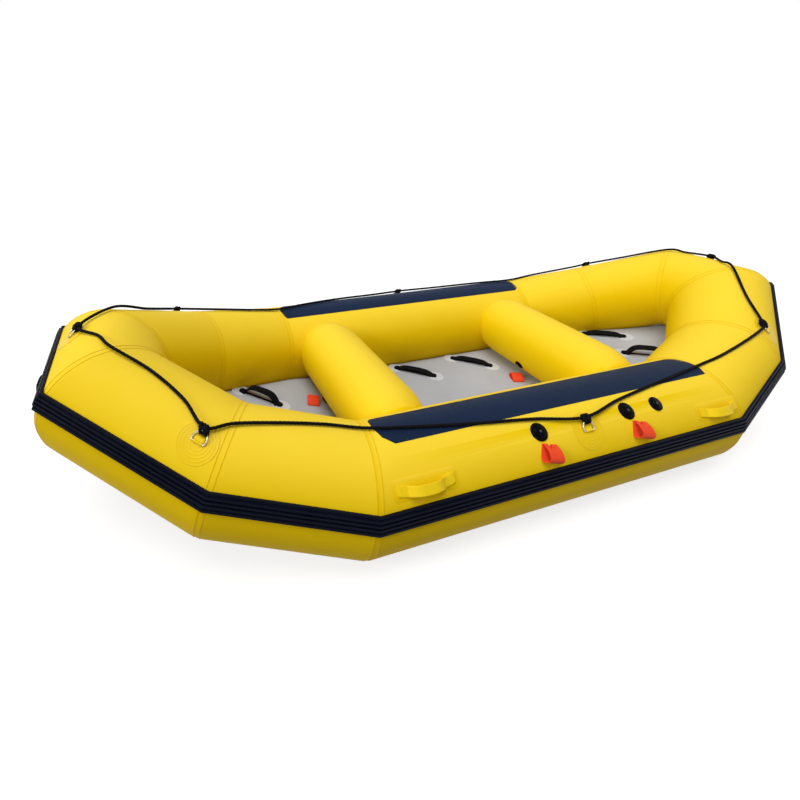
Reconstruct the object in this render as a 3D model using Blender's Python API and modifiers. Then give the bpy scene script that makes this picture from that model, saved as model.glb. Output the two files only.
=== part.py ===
# Inflatable river raft: a ring of twelve mitred air tubes round a stiff floor, with two cross seats.
# Metres. +X points to the stern, +Y to starboard, +Z up. The origin is on the ground, amidships.
# A place on the hull is given as (u, angle): u counts the corners of the ring, so that u = 0.5 is
# half way along the tube between corner 0 and corner 1, and angle is in degrees round the tube,
# 0 pointing straight out from the boat and 90 pointing up.
import math

import bmesh
import bpy
from mathutils import Matrix, Vector

# Hull
TUBE_RADIUS = 0.235
TUBE_WALL = 0.0015
TUBE_SIDES = 40
SIDE_HALF_LENGTH = 0.848
HALF_BEAM = 0.5853
SHOULDER_X, SHOULDER_Y, SHOULDER_RISE = SIDE_HALF_LENGTH + 0.4734, 0.4366, 0.0956
END_X, END_Y, END_RISE = SHOULDER_X + 0.3757, 0.1510, 0.2697
GAP = 0.0003
OVERRUN = 0.02
BAFFLE_X = 0.04
BAFFLE_DISH = 0.05

# Rub strake, wear pads and glued patches
STRAKE_LOW, STRAKE_HIGH = 4.6, 21.0
STRAKE_BASE, STRAKE_LIP, STRAKE_RIB = 0.0055, 0.0095, 0.0130
STRAKE_OUTLINE_SHARES = [(0.00, 0), (0.01, 1), (0.12, 1), (0.15, 0), (0.25, 0), (0.28, 2), (0.37, 2),
                         (0.40, 0), (0.45, 0), (0.48, 2), (0.57, 2), (0.60, 0), (0.65, 0), (0.68, 2),
                         (0.77, 2), (0.80, 0), (0.87, 0), (0.90, 1), (0.99, 1), (1.00, 0)]
PATCH_THICKNESS = 0.0015
PAD_THICKNESS = 0.0020
PAD_BOW, PAD_BOW_STARBOARD, PAD_STERN = SIDE_HALF_LENGTH - 0.058, SIDE_HALF_LENGTH - 0.033, SIDE_HALF_LENGTH - 0.043
PAD_OUT, PAD_IN = 0.070, 0.068
PAD_ROUND = 0.045

# Floor
FLOOR_THICKNESS = 0.100
FLOOR_TOP = 0.123
FLOOR_END_X = END_X - 0.0971
FLOOR_SLOPE = 0.150
FLOOR_STATIONS = 9
FLOOR_EDGE_STEPS = 5

# Cross seats
SEAT_RADIUS = 0.170
SEAT_X = SIDE_HALF_LENGTH - 0.253
SEAT_SIDES = 32
FLOOR_FLAT_HALF = SEAT_X + SEAT_RADIUS * FLOOR_SLOPE
SEAT_END_SHARES = [(0.00, -0.79), (0.35, -0.75), (0.62, -0.61), (0.80, -0.41), (0.92, -0.17), (1.00, 0.21)]

# Grab line and its rings
RINGS = {"bow": (2.6, 39.5), "bow_port": (1.145, 47.0), "port": (-0.5236, 45.0), "stern_port": (-2.165, 45.0),
         "stern": (-3.5, 45.0), "stern_starboard": (7.165, 45.0), "starboard": (5.5236, 45.0),
         "bow_starboard": (3.855, 47.0)}
RING_WIDTH, RING_HEIGHT, RING_WIRE = 0.050, 0.038, 0.003
RING_CORNER = 0.004
RING_LIFT = 11.0
RING_PATCH_RADIUS = 0.070
KEEPER_WALL, KEEPER_WIDTH, KEEPER_TAIL = 0.0015, 0.036, 0.022
ROPE_RADIUS = 0.0065
ROPE_STEP = 0.160
HITCH_RADIUS = 0.0040
HITCH_RISE = 0.0468
HITCH_SWING = math.degrees(HITCH_RISE / TUBE_RADIUS)
PORT_ROUTE = ["bow", (2.3, 70.0), (2.0, 80.5), (1.66, 79.7), (1.35, 71.0), "bow_port", (1.0, 73.5), (0.7, 82.0),
              (0.35, 89.5), (0.0, 92.8), (-0.12, 82.5), (-0.25, 73.5), (-0.395, 65.6), "port", (-0.655, 65.6),
              (-0.83, 71.5), (-1.0, 77.5), (-1.4, 70.5), (-2.0, 62.0), "stern_port", (-2.5, 70.0), (-3.0, 83.0),
              (-3.25, 73.0), "stern"]

# Inflation valves, drawn about their own axis with zero on the skin that they sit on
VALVE_ANGLE = 54.0
VALVE_PLACES_X = [(-0.178, "bow_valve"), (0.263, "stern_valve")]
SEAT_VALVE_ANGLE, SEAT_VALVE_SHARE = 213.75, 0.72
SEAT_VALVE_Y = 0.030
FLOOR_VALVE_X, FLOOR_VALVE_Y = 0.0, -0.235
VALVE_STEPS = 12
FLANGE_RADIUS, FLANGE_TOP = 0.0350, 0.0043
RIM_RADIUS, RIM_TOP = 0.0225, 0.0073
BARREL_RADIUS, BORE_RADIUS, BARREL_DEPTH = 0.0200, 0.0160, 0.0340
LIP_RADIUS, LIP_HEIGHT = 0.0110, 0.0030
GUIDE_DEPTH, GUIDE_HEIGHT = 0.0220, 0.0030
VENT_RADIUS, VENT_REACH = 0.0035, 0.0100
STEM_RADIUS, BUTTON_RADIUS, BUTTON_HEIGHT, BUTTON_DEPTH = 0.0025, 0.0055, 0.0030, 0.0070
HEAD_RADIUS, HEAD_HEIGHT = 0.0135, 0.0040
SPRING_RADIUS, SPRING_WIRE, SPRING_TURNS, SPRING_POINTS = 0.0042, 0.0005, 4, 6
CAP_RADIUS, CAP_HEIGHT, CAP_CROWN = 0.0240, 0.0030, 0.0022
PLUG_RADIUS, PLUG_DEPTH = 0.0148, 0.0036
HINGE_REACH, HINGE_RISE, PIN_RADIUS, KNUCKLE_RADIUS = 0.0305, 0.0088, 0.0015, 0.0036
KNUCKLE_WIDTH, LUG_WIDTH = 0.0110, 0.0035

# Relief valve, drawn the same way
RELIEF_X = 0.425
RELIEF_FLANGE, RELIEF_BARREL, RELIEF_BORE, RELIEF_DEPTH = 0.0295, 0.0170, 0.0135, 0.0160
RELIEF_WALL, RELIEF_SEAT, RELIEF_CROWN = 0.0025, 0.0065, 0.0110
DISC_RADIUS, DISC_HEIGHT, DISC_STEM, DISC_STEM_TOP = 0.0120, 0.0022, 0.0020, 0.0040

# Webbing: carry handles, floor handles and strap loops
CARRY_BOW_X, CARRY_STERN_X = 0.166 - SIDE_HALF_LENGTH, SIDE_HALF_LENGTH - 0.118
CARRY_PLACES = [("bow_port", CARRY_BOW_X, -1), ("stern_port", CARRY_STERN_X, -1),
                ("bow_starboard", CARRY_BOW_X, 1), ("stern_starboard", CARRY_STERN_X, 1)]
END_CARRY_PLACES = [("bow", 2.5), ("stern", 8.5)]
CARRY_ANGLE, END_CARRY_ANGLE = 36.0, -9.0
CARRY_LENGTH, CARRY_FOOT, CARRY_RISE, CARRY_WIDTH = 0.220, 0.040, 0.024, 0.034
CARRY_THICKNESS = 0.004
CARRY_PATCH_LENGTH, CARRY_PATCH_WIDTH = 0.250, 0.070
FLOOR_HANDLES = [("bow", -SIDE_HALF_LENGTH - 0.158, 0.191, 0.048), ("middle_bow", -0.088, 0.250, 0.014),
                 ("middle_stern", 0.303, 0.250, 0.014), ("stern_port", SIDE_HALF_LENGTH + 0.400, -0.099, 0.048),
                 ("stern_starboard", SIDE_HALF_LENGTH + 0.387, 0.155, 0.014)]
FLOOR_HANDLE_TURN = -42.0
FLOOR_HANDLE_LENGTH, FLOOR_HANDLE_FOOT, FLOOR_HANDLE_WIDTH, FLOOR_HANDLE_THICKNESS = 0.240, 0.030, 0.030, 0.003
LOOP_WIDTH, LOOP_TAIL, LOOP_EYE, LOOP_WALL = 0.060, 0.042, 0.0095, 0.0030
SIDE_LOOPS = [("bow", -0.165), ("stern", 0.285)]
SIDE_LOOP_ANGLE, SIDE_LOOP_DROP = 36.0, 0.006
FLOOR_LOOPS = [("bow", -SEAT_X - 0.180, 0.105), ("stern", SEAT_X - 0.170, 0.005)]

YELLOW, NAVY, BLACK, ORANGE = (0.93, 0.66, 0.02), (0.03, 0.05, 0.14), (0.015, 0.015, 0.017), (0.90, 0.10, 0.03)
WHITE, STEEL = (0.78, 0.78, 0.76), (0.75, 0.72, 0.62)

FACET = math.tau / TUBE_SIDES
APOTHEM = TUBE_RADIUS * math.cos(FACET / 2)
QUARTER = math.pi / 2


# Hull geometry

def corner_points():
    quarter = [Vector((SIDE_HALF_LENGTH, HALF_BEAM, 0)), Vector((SHOULDER_X, SHOULDER_Y, SHOULDER_RISE)),
               Vector((END_X, END_Y, END_RISE))]
    signs = [(-1, -1, 1), (-1, 1, -1), (1, 1, 1), (1, -1, -1)]
    points = []
    for sx, sy, order in signs:
        for p in quarter[::order]:
            points.append(Vector((sx * p.x, sy * p.y, p.z + APOTHEM)))
    return points


CORNERS = corner_points()
COUNT = len(CORNERS)


def tube_frames():
    # Each tube's (along, outward, upward) directions, reflected in each mitre from the port side tube
    along = [(CORNERS[(k + 1) % COUNT] - CORNERS[k]).normalized() for k in range(COUNT)]
    mitres = [(along[k - 1] + along[k]).normalized() for k in range(COUNT)]
    frames = {COUNT - 1: (along[-1], Vector((0, -1, 0)), Vector((0, 0, 1)))}
    outward, upward = frames[COUNT - 1][1:]
    for k in range(COUNT - 1):
        m = mitres[k]
        outward = outward - 2 * outward.dot(m) * m
        upward = upward - 2 * upward.dot(m) * m
        frames[k] = (along[k], outward, upward)
    return frames, mitres


FRAMES, MITRES = tube_frames()


def facet_radius(angle, radius=TUBE_RADIUS):
    # Radius of the many-sided tube in this direction; one side faces straight down
    off = (angle + QUARTER + FACET / 2) % FACET - FACET / 2
    return radius * math.cos(FACET / 2) / math.cos(off)


def mitre_point(k, angle, radius):
    t, n, u = FRAMES[(k - 1) % COUNT]
    m = MITRES[k % COUNT]
    out = math.cos(angle) * n + math.sin(angle) * u
    return CORNERS[k % COUNT] + radius * (out - t * (out.dot(m) / t.dot(m)))


def hull_point(place, degrees, lift=0.0):
    k = math.floor(place)
    angle = math.radians(degrees)
    radius = TUBE_RADIUS + lift
    return mitre_point(k, angle, radius).lerp(mitre_point(k + 1, angle, radius), place - k)


def hull_spot(place, degrees):
    # Frame on a tube's side: X up the slope, Y along the tube, Z out from the surface
    k = math.floor(place) % COUNT
    t, n, u = FRAMES[k]
    angle = math.radians(degrees)
    out = math.cos(angle) * n + math.sin(angle) * u
    spot = Matrix((t.cross(out), t, out)).transposed().to_4x4()
    point = hull_point(place, degrees)
    centre = CORNERS[k] + t * (point - CORNERS[k]).dot(t)
    spot.translation = centre + out * APOTHEM
    return spot


def side_place(x, side):
    # Place along a side tube for a distance x from amidships; side is -1 to port and 1 to starboard
    share = (x + SIDE_HALF_LENGTH) / (2 * SIDE_HALF_LENGTH)
    return -share if side < 0 else 5 + share


# Working tools

for leftover in list(bpy.data.objects):
    bpy.data.objects.remove(leftover, do_unlink=True)

parts = bpy.data.collections.new("inflatable_raft")
bpy.context.scene.collection.children.link(parts)
finishes = {}


def finish(name, colour, roughness, metallic=0.0):
    if name not in finishes:
        material = bpy.data.materials.new(name)
        material.use_nodes = True
        shader = material.node_tree.nodes["Principled BSDF"]
        shader.inputs["Base Color"].default_value = (*colour, 1.0)
        shader.inputs["Roughness"].default_value = roughness
        shader.inputs["Metallic"].default_value = metallic
        finishes[name] = material
    return finishes[name]


def hull_fabric():
    return finish("hull_fabric", YELLOW, 0.35)


def black_plastic():
    return finish("black_plastic", BLACK, 0.4)


def webbing():
    return finish("black_webbing", BLACK, 0.8)


def steel():
    return finish("steel", STEEL, 0.25, 1.0)


def working_object(data, spot=None):
    obj = bpy.data.objects.new("working", data)
    parts.objects.link(obj)
    obj.matrix_world = spot or Matrix()
    return obj


def from_bmesh(bm, spot=None):
    bmesh.ops.recalc_face_normals(bm, faces=bm.faces)
    if bm.calc_volume(signed=True) < 0:
        bmesh.ops.reverse_faces(bm, faces=bm.faces)
    mesh = bpy.data.meshes.new("working")
    bm.to_mesh(mesh)
    bm.free()
    return working_object(mesh, spot)


def remove(obj):
    bpy.data.objects.remove(obj, do_unlink=True)


def evaluated_mesh(obj):
    bpy.context.view_layer.update()
    graph = bpy.context.evaluated_depsgraph_get()
    mesh = bpy.data.meshes.new_from_object(obj.evaluated_get(graph))
    mesh.transform(obj.matrix_world)
    return mesh


def settle(name, pieces, material, origin=None):
    # Turns working objects into one node, whose origin is on its hinge or slide if it has one
    bm = bmesh.new()
    for piece in pieces:
        bm.from_mesh(evaluated_mesh(piece))
        remove(piece)
    bmesh.ops.remove_doubles(bm, verts=bm.verts, dist=GAP / 100)
    mesh = bpy.data.meshes.new(name)
    bm.to_mesh(mesh)
    bm.free()
    origin = origin or Vector()
    mesh.transform(Matrix.Translation(-origin))
    mesh.shade_smooth()
    mesh.set_sharp_from_angle(angle=math.radians(35))
    mesh.materials.clear()
    mesh.materials.append(material)
    obj = bpy.data.objects.new(name, mesh)
    obj.location = origin
    parts.objects.link(obj)
    return obj


def meshed(obj):
    # A curve's caps are loose until they are welded
    bm = bmesh.new()
    bm.from_mesh(evaluated_mesh(obj))
    remove(obj)
    bmesh.ops.remove_doubles(bm, verts=bm.verts, dist=GAP / 100)
    return from_bmesh(bm)


def combine(target, tool, operation):
    modifier = target.modifiers.new(operation.lower(), "BOOLEAN")
    modifier.operation = operation
    modifier.object = tool
    mesh = evaluated_mesh(target)
    target.modifiers.clear()
    mesh.transform(target.matrix_world.inverted())
    target.data = mesh
    remove(tool)
    return target


def cylinder(radius, bottom, top, spot, sides=VALVE_STEPS, across=None):
    # Upright round bar in the spot's frame, or lying along the given axis
    bm = bmesh.new()
    bmesh.ops.create_cone(bm, cap_ends=True, segments=sides, radius1=radius, radius2=radius, depth=top - bottom)
    bmesh.ops.translate(bm, verts=bm.verts, vec=(0, 0, (top + bottom) / 2))
    if across:
        bmesh.ops.transform(bm, verts=bm.verts, matrix=across)
    return from_bmesh(bm, spot)


def box(low, high, spot):
    bm = bmesh.new()
    bmesh.ops.create_cube(bm, size=1.0)
    size = Vector(high) - Vector(low)
    bmesh.ops.scale(bm, verts=bm.verts, vec=size)
    bmesh.ops.translate(bm, verts=bm.verts, vec=(Vector(high) + Vector(low)) / 2)
    return from_bmesh(bm, spot)


def turned(profile, spot, steps=VALVE_STEPS, closed=True):
    # Profile of (radius, height) points, down its outer side first
    mesh = bpy.data.meshes.new("profile")
    edges = [(i, i + 1) for i in range(len(profile) - 1)]
    if closed:
        edges.append((len(profile) - 1, 0))
    mesh.from_pydata([(r, 0, z) for r, z in profile], edges, [])
    obj = working_object(mesh, spot)
    screw = obj.modifiers.new("turn", "SCREW")
    screw.steps = screw.render_steps = steps
    screw.use_merge_vertices = True
    screw.merge_threshold = GAP / 100
    return obj


def loft(rings, spot=None, ends=True):
    # Skin over a row of outlines with equal numbers of points
    bm = bmesh.new()
    rows = [[bm.verts.new(p) for p in ring] for ring in rings]
    count = len(rows[0])
    for a, b in zip(rows, rows[1:] if ends else rows[1:] + rows[:1]):
        for i in range(count):
            j = (i + 1) % count
            bm.faces.new((a[i], a[j], b[j], b[i]))
    if ends:
        bm.faces.new(rows[0])
        bm.faces.new(rows[-1])
    return from_bmesh(bm, spot)


def bar_along(points, radius, cyclic, sides_level):
    curve = bpy.data.curves.new("bar", "CURVE")
    curve.dimensions = "3D"
    curve.bevel_depth = radius
    curve.bevel_resolution = sides_level
    curve.use_fill_caps = True
    spline = curve.splines.new("POLY")
    spline.points.add(len(points) - 1)
    for point, place in zip(spline.points, points):
        point.co = (*place, 1.0)
    spline.use_cyclic_u = cyclic
    return working_object(curve)


def flat_strip(outlines, width, spot):
    # Outlines in the spot's Y and Z, as wide as the strap along its X; further outlines are holes
    curve = bpy.data.curves.new("strip", "CURVE")
    curve.dimensions = "2D"
    curve.fill_mode = "BOTH"
    curve.extrude = width / 2
    for outline in outlines:
        spline = curve.splines.new("POLY")
        spline.points.add(len(outline) - 1)
        for point, (y, z) in zip(spline.points, outline):
            point.co = (y, z, 0.0, 1.0)
        spline.use_cyclic_u = True
    stand = Matrix(((0, 0, 1), (1, 0, 0), (0, 1, 0))).to_4x4()
    return working_object(curve, spot @ stand)


def arc(centre, radius, start, end, steps):
    angles = [math.radians(start + (end - start) * i / steps) for i in range(steps + 1)]
    return [(centre[0] + radius * math.cos(a), centre[1] + radius * math.sin(a)) for a in angles]


# Hull pieces

def mitre_ring(k, radius, setback):
    # Ring of the tube's corners at a mitre, moved along the tube by the setback
    t = FRAMES[(k if setback > 0 else k - 1) % COUNT][0]
    angles = [FACET * (i + 1 / 2) for i in range(TUBE_SIDES)]
    return [mitre_point(k, angle, radius) + t * setback for angle in angles]


def sleeve(first, count, outer, inner, setback):
    # Open-ended run of tubes, mitred at each corner, from this corner of the ring
    last = first + count
    rings = []
    for radius, order in ((outer, range(first, last + 1)), (inner, range(last, first - 1, -1))):
        for k in order:
            rings.append(mitre_ring(k, radius, setback * ((k == first) - (k == last))))
    return loft(rings, ends=False)


def skin_sleeve(k, thickness):
    # A layer lying on tube number k with the gap below it
    below = TUBE_RADIUS + GAP / math.cos(FACET / 2)
    return sleeve(k, 1, below + thickness / math.cos(FACET / 2), below, GAP)


def patch(place, degrees, outline, thickness):
    # Piece of fabric of this (up slope, along) outline, pressed onto the tube
    spot = hull_spot(place, degrees)
    bm = bmesh.new()
    face = bm.faces.new([bm.verts.new((x, y, -TUBE_RADIUS / 4)) for x, y in outline])
    raised = bmesh.ops.extrude_face_region(bm, geom=[face])["geom"]
    bmesh.ops.translate(bm, verts=[v for v in raised if isinstance(v, bmesh.types.BMVert)],
                        vec=(0, 0, TUBE_RADIUS / 2))
    punch = from_bmesh(bm, spot)
    return combine(skin_sleeve(math.floor(place) % COUNT, thickness), punch, "INTERSECT")


def round_outline(radius, sides=14):
    return arc((0, 0), radius, 0, 360 * (sides - 1) / sides, sides - 1)


def rounded_oblong(half_x, half_y, corner, steps=3):
    points = []
    for cx, cy, turn in ((1, 1, 0), (-1, 1, 90), (-1, -1, 180), (1, -1, 270)):
        points += arc((cx * (half_x - corner), cy * (half_y - corner)), corner, turn, turn + 90, steps)
    return points


def baffle(name, side):
    # Dished wall inside a side tube that parts the bow chamber from the stern chamber
    place = side_place(BAFFLE_X, side)
    centre = Vector((BAFFLE_X, side * HALF_BEAM, APOTHEM))
    rim = TUBE_RADIUS - (TUBE_WALL + GAP) / math.cos(FACET / 2) - GAP
    rings = []
    for share in (1.0, 0.55):
        depth = BAFFLE_DISH * (1 - share ** 2)
        ring = []
        for i in range(TUBE_SIDES):
            angle = FACET * (i + 1 / 2)
            ring.append(centre + Vector((depth, rim * share * math.cos(angle), rim * share * math.sin(angle))))
        rings.append(ring)
    backs = [[p - Vector((TUBE_WALL, 0, 0)) for p in ring] for ring in rings]
    return settle(name, [loft(rings[::-1] + backs)], hull_fabric())


def rub_strake():
    low, high = math.radians(STRAKE_LOW), math.radians(STRAKE_HIGH)
    heights = (STRAKE_BASE, STRAKE_LIP, STRAKE_RIB)
    vertex = (math.floor((low + QUARTER) / FACET + 1 / 2) + 1 / 2) * FACET - QUARTER
    under = [low]
    while vertex < high:
        under.append(vertex)
        vertex += FACET
    under.append(high)
    lift = GAP / math.cos(FACET / 2)
    section = [(angle, facet_radius(angle) + lift) for angle in under[::-1]]
    section += [(low + share * (high - low), TUBE_RADIUS + heights[level])
                for share, level in STRAKE_OUTLINE_SHARES]
    rings = [[mitre_point(k, angle, radius) for angle, radius in section] for k in range(COUNT)]
    return settle("rub_strake", [loft(rings, ends=False)], finish("strake_rubber", NAVY, 0.5))


def wear_pad(name, side):
    place = side_place(0, side)
    # The frame on top of the tube has its X pointing inboard and its Y towards the bow on the port side
    bow, stern = (PAD_BOW, -PAD_STERN) if side < 0 else (-PAD_BOW_STARBOARD, PAD_STERN)
    step = PAD_ROUND if bow > 0 else -PAD_ROUND
    outline = [(-PAD_OUT, stern + step / 3), (-PAD_OUT, bow - step), (-PAD_OUT / 2, bow - step / 4),
               (PAD_OUT / 4, bow), (PAD_IN * 0.7, bow - step / 2), (PAD_IN, bow - step),
               (PAD_IN, stern + step), (PAD_IN * 0.7, stern + step / 3), (PAD_OUT / 4, stern),
               (-PAD_OUT / 2, stern)]
    return settle(name, [patch(place, 90, outline, PAD_THICKNESS)], finish("pad_fabric", NAVY, 0.6))


# Floor

def floor_rise(x):
    return max(abs(x) - FLOOR_FLAT_HALF, 0) * FLOOR_SLOPE


def distance_to_hull(point):
    best = None
    for k in range(COUNT):
        a, b = CORNERS[k], CORNERS[(k + 1) % COUNT]
        share = min(max((point - a).dot(b - a) / (b - a).length_squared, 0), 1)
        length = (point - a.lerp(b, share)).length
        best = length if best is None else min(best, length)
    return best


def floor_half_width(x, height):
    # Widest place at which the floor's round edge still clears the tubes
    reach = TUBE_RADIUS + FLOOR_THICKNESS / 2 + 2 * GAP
    low, high = 0.0, HALF_BEAM
    while high - low > GAP / 10:
        middle = (low + high) / 2
        if distance_to_hull(Vector((x, middle, height))) > reach:
            low = middle
        else:
            high = middle
    return low


def floor_ring(x, radius, inset):
    middle = FLOOR_TOP - FLOOR_THICKNESS / 2 + floor_rise(x)
    half = floor_half_width(x, middle) - inset
    ring = []
    for cy, start in ((half, -90), (-half, 90)):
        for y, z in arc((cy, middle), radius, start, start + 180, FLOOR_EDGE_STEPS):
            ring.append(Vector((x, y, z)))
    return ring


def inflatable_floor():
    edge = FLOOR_THICKNESS / 2
    ramp = FLOOR_END_X - edge - FLOOR_FLAT_HALF
    stations = [FLOOR_FLAT_HALF + ramp * i / FLOOR_STATIONS for i in range(FLOOR_STATIONS + 1)]
    half = [floor_ring(x, edge, 0.0) for x in stations]
    for turn in (30, 60, 80):
        angle = math.radians(turn)
        shrink = edge * (1 - math.cos(angle))
        ring = floor_ring(FLOOR_END_X - edge, edge - shrink, shrink)
        half.append([p + Vector((edge * math.sin(angle), 0, 0)) for p in ring])
    mirrored = [[Vector((-p.x, p.y, p.z)) for p in ring] for ring in half[::-1]]
    body = loft(mirrored + half)
    spot = Matrix.Translation((FLOOR_VALVE_X, FLOOR_VALVE_Y, FLOOR_TOP))
    pocket = cylinder(BARREL_RADIUS + GAP, -BARREL_DEPTH - OVERRUN, OVERRUN, spot)
    combine(body, pocket, "DIFFERENCE")
    return settle("inflatable_floor", [body], finish("floor_fabric", WHITE, 0.5))


# Cross seats

def seat_height():
    # One side of the many-sided seat lies flat on the floor
    return FLOOR_TOP + GAP + SEAT_RADIUS * math.cos(math.pi / SEAT_SIDES)


def seat_frame(x):
    # Z along the seat to starboard, X towards the stern, Y down
    frame = Matrix(((1, 0, 0), (0, 0, 1), (0, -1, 0))).to_4x4()
    frame.translation = (x, 0, seat_height())
    return frame


def seat_valve_spot(x):
    angle = math.radians(SEAT_VALVE_ANGLE)
    out = Vector((math.cos(angle), 0, math.sin(angle)))
    along = Vector((0, 1, 0))
    spot = Matrix((along.cross(out), along, out)).transposed().to_4x4()
    reach = SEAT_RADIUS * math.cos(math.pi / SEAT_SIDES)
    spot.translation = Vector((x, SEAT_VALVE_Y, seat_height())) + out * reach
    return spot @ Matrix.Scale(SEAT_VALVE_SHARE, 4)


def seat_block(x, inset):
    # The seat's outer shape, or its hollow, with both ends pressed against the side tubes
    end = HALF_BEAM - APOTHEM - GAP - inset
    profile = [(r * (SEAT_RADIUS - inset), end - back * SEAT_RADIUS) for r, back in SEAT_END_SHARES]
    profile += [(r, -z) for r, z in profile[::-1]]
    turn = Matrix.Rotation(math.pi / SEAT_SIDES, 4, "Z")
    block = turned(profile, seat_frame(x) @ turn, SEAT_SIDES, closed=False)
    reach = TUBE_RADIUS + (GAP + inset) / math.cos(FACET / 2)
    angles = [(i + 1 / 2) * FACET for i in range(TUBE_SIDES)]
    for first in (5, 11):
        tube = loft([[mitre_point(k % COUNT, angle, reach) for angle in angles] for k in (first, first + 1)])
        combine(block, tube, "DIFFERENCE")
    return block


def cross_seat(name, x):
    body = combine(seat_block(x, 0.0), seat_block(x, TUBE_WALL), "DIFFERENCE")
    hole = cylinder(BARREL_RADIUS + GAP, -BARREL_DEPTH, OVERRUN, seat_valve_spot(x))
    combine(body, hole, "DIFFERENCE")
    return settle(name, [body], hull_fabric())


# Valves

def valve_body(name, spot, sprung):
    step = RIM_TOP - FLANGE_TOP
    profile = [(RIM_RADIUS, RIM_TOP), (RIM_RADIUS + step / 2, FLANGE_TOP), (FLANGE_RADIUS - step / 2, FLANGE_TOP),
               (FLANGE_RADIUS, FLANGE_TOP - step / 2), (FLANGE_RADIUS, GAP), (BARREL_RADIUS, GAP),
               (BARREL_RADIUS, -BARREL_DEPTH), (LIP_RADIUS, -BARREL_DEPTH),
               (LIP_RADIUS, -BARREL_DEPTH + LIP_HEIGHT), (BORE_RADIUS, -BARREL_DEPTH + LIP_HEIGHT)]
    if sprung:
        profile += [(BORE_RADIUS, -GUIDE_DEPTH), (STEM_RADIUS + GAP, -GUIDE_DEPTH),
                    (STEM_RADIUS + GAP, -GUIDE_DEPTH + GUIDE_HEIGHT), (BORE_RADIUS, -GUIDE_DEPTH + GUIDE_HEIGHT)]
    body = turned(profile + [(BORE_RADIUS, RIM_TOP)], spot)
    for third in range(3 * sprung):
        shift = Matrix.Rotation(math.tau * third / 3, 4, "Z") @ Matrix.Translation((VENT_REACH, 0, 0))
        vent = cylinder(VENT_RADIUS, -GUIDE_DEPTH - GUIDE_HEIGHT, -GUIDE_DEPTH + 2 * GUIDE_HEIGHT, spot @ shift, 6)
        combine(body, vent, "DIFFERENCE")
    reach = KNUCKLE_WIDTH / 2 + GAP
    for side in (-1, 1):
        low, high = sorted((side * reach, side * (reach + LUG_WIDTH)))
        lug = box((low, HINGE_REACH - KNUCKLE_RADIUS, FLANGE_TOP / 2),
                  (high, HINGE_REACH + KNUCKLE_RADIUS, HINGE_RISE + KNUCKLE_RADIUS / 2 + PIN_RADIUS / 2), spot)
        combine(body, lug, "UNION")
    length = reach + LUG_WIDTH / 2
    across = Matrix.Translation((0, HINGE_REACH, HINGE_RISE)) @ Matrix.Rotation(QUARTER, 4, "Y")
    combine(body, cylinder(PIN_RADIUS, -length, length, spot, 6, across), "UNION")
    return settle(name, [body], black_plastic())


def valve_cap(name, spot):
    under = RIM_TOP + GAP
    top = under + CAP_HEIGHT
    profile = [(0, top + CAP_CROWN), (CAP_RADIUS * 0.45, top + CAP_CROWN * 0.8), (CAP_RADIUS * 0.55, top),
               (CAP_RADIUS * 0.92, top), (CAP_RADIUS, top - CAP_HEIGHT / 3), (CAP_RADIUS, under),
               (PLUG_RADIUS, under), (PLUG_RADIUS, under - PLUG_DEPTH), (0, under - PLUG_DEPTH)]
    cap = turned(profile, spot, closed=False)
    across = Matrix.Translation((0, HINGE_REACH, HINGE_RISE)) @ Matrix.Rotation(QUARTER, 4, "Y")
    half = KNUCKLE_WIDTH / 2
    arm = box((-half + GAP, CAP_RADIUS - CAP_HEIGHT, under + CAP_HEIGHT / 8),
              (half - GAP, HINGE_REACH - KNUCKLE_RADIUS / 3, top - CAP_HEIGHT / 6), spot)
    combine(cap, arm, "UNION")
    combine(cap, cylinder(KNUCKLE_RADIUS, -half, half, spot, 8, across), "UNION")
    combine(cap, cylinder(PIN_RADIUS + 2 * GAP, -half - OVERRUN, half + OVERRUN, spot, 6, across), "DIFFERENCE")
    return settle(name, [cap], black_plastic(), spot @ Vector((0, HINGE_REACH, HINGE_RISE)))


def valve_plunger(name, spot):
    head = -BARREL_DEPTH - GAP
    profile = [(0, -BUTTON_DEPTH + BUTTON_HEIGHT), (BUTTON_RADIUS, -BUTTON_DEPTH + BUTTON_HEIGHT),
               (BUTTON_RADIUS, -BUTTON_DEPTH), (STEM_RADIUS, -BUTTON_DEPTH), (STEM_RADIUS, head),
               (HEAD_RADIUS, head), (HEAD_RADIUS, head - HEAD_HEIGHT / 2),
               (HEAD_RADIUS * 0.8, head - HEAD_HEIGHT), (0, head - HEAD_HEIGHT)]
    return settle(name, [turned(profile, spot, 8, closed=False)], black_plastic(), spot.translation)


def coil_spring(name, spot, bottom, top):
    count = SPRING_TURNS * SPRING_POINTS
    rise = top - bottom - 2 * SPRING_WIRE - 2 * GAP
    points = []
    for i in range(count + 1):
        angle = math.tau * i / SPRING_POINTS
        height = bottom + SPRING_WIRE + GAP + rise * i / count
        points.append(spot @ Vector((SPRING_RADIUS * math.cos(angle), SPRING_RADIUS * math.sin(angle), height)))
    wire = SPRING_WIRE * spot.to_scale().x
    return settle(name, [bar_along(points, wire, False, 0)], steel())


def inflation_valve(name, spot, sprung=False):
    # The hull's valves hold a sprung plunger; the plainer ones close with their cap's plug alone
    valve_body(name + "_body", spot, sprung)
    valve_cap(name + "_cap", spot)
    if sprung:
        valve_plunger(name + "_plunger", spot)
        coil_spring(name + "_spring", spot, -GUIDE_DEPTH + GUIDE_HEIGHT, -BUTTON_DEPTH)


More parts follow.
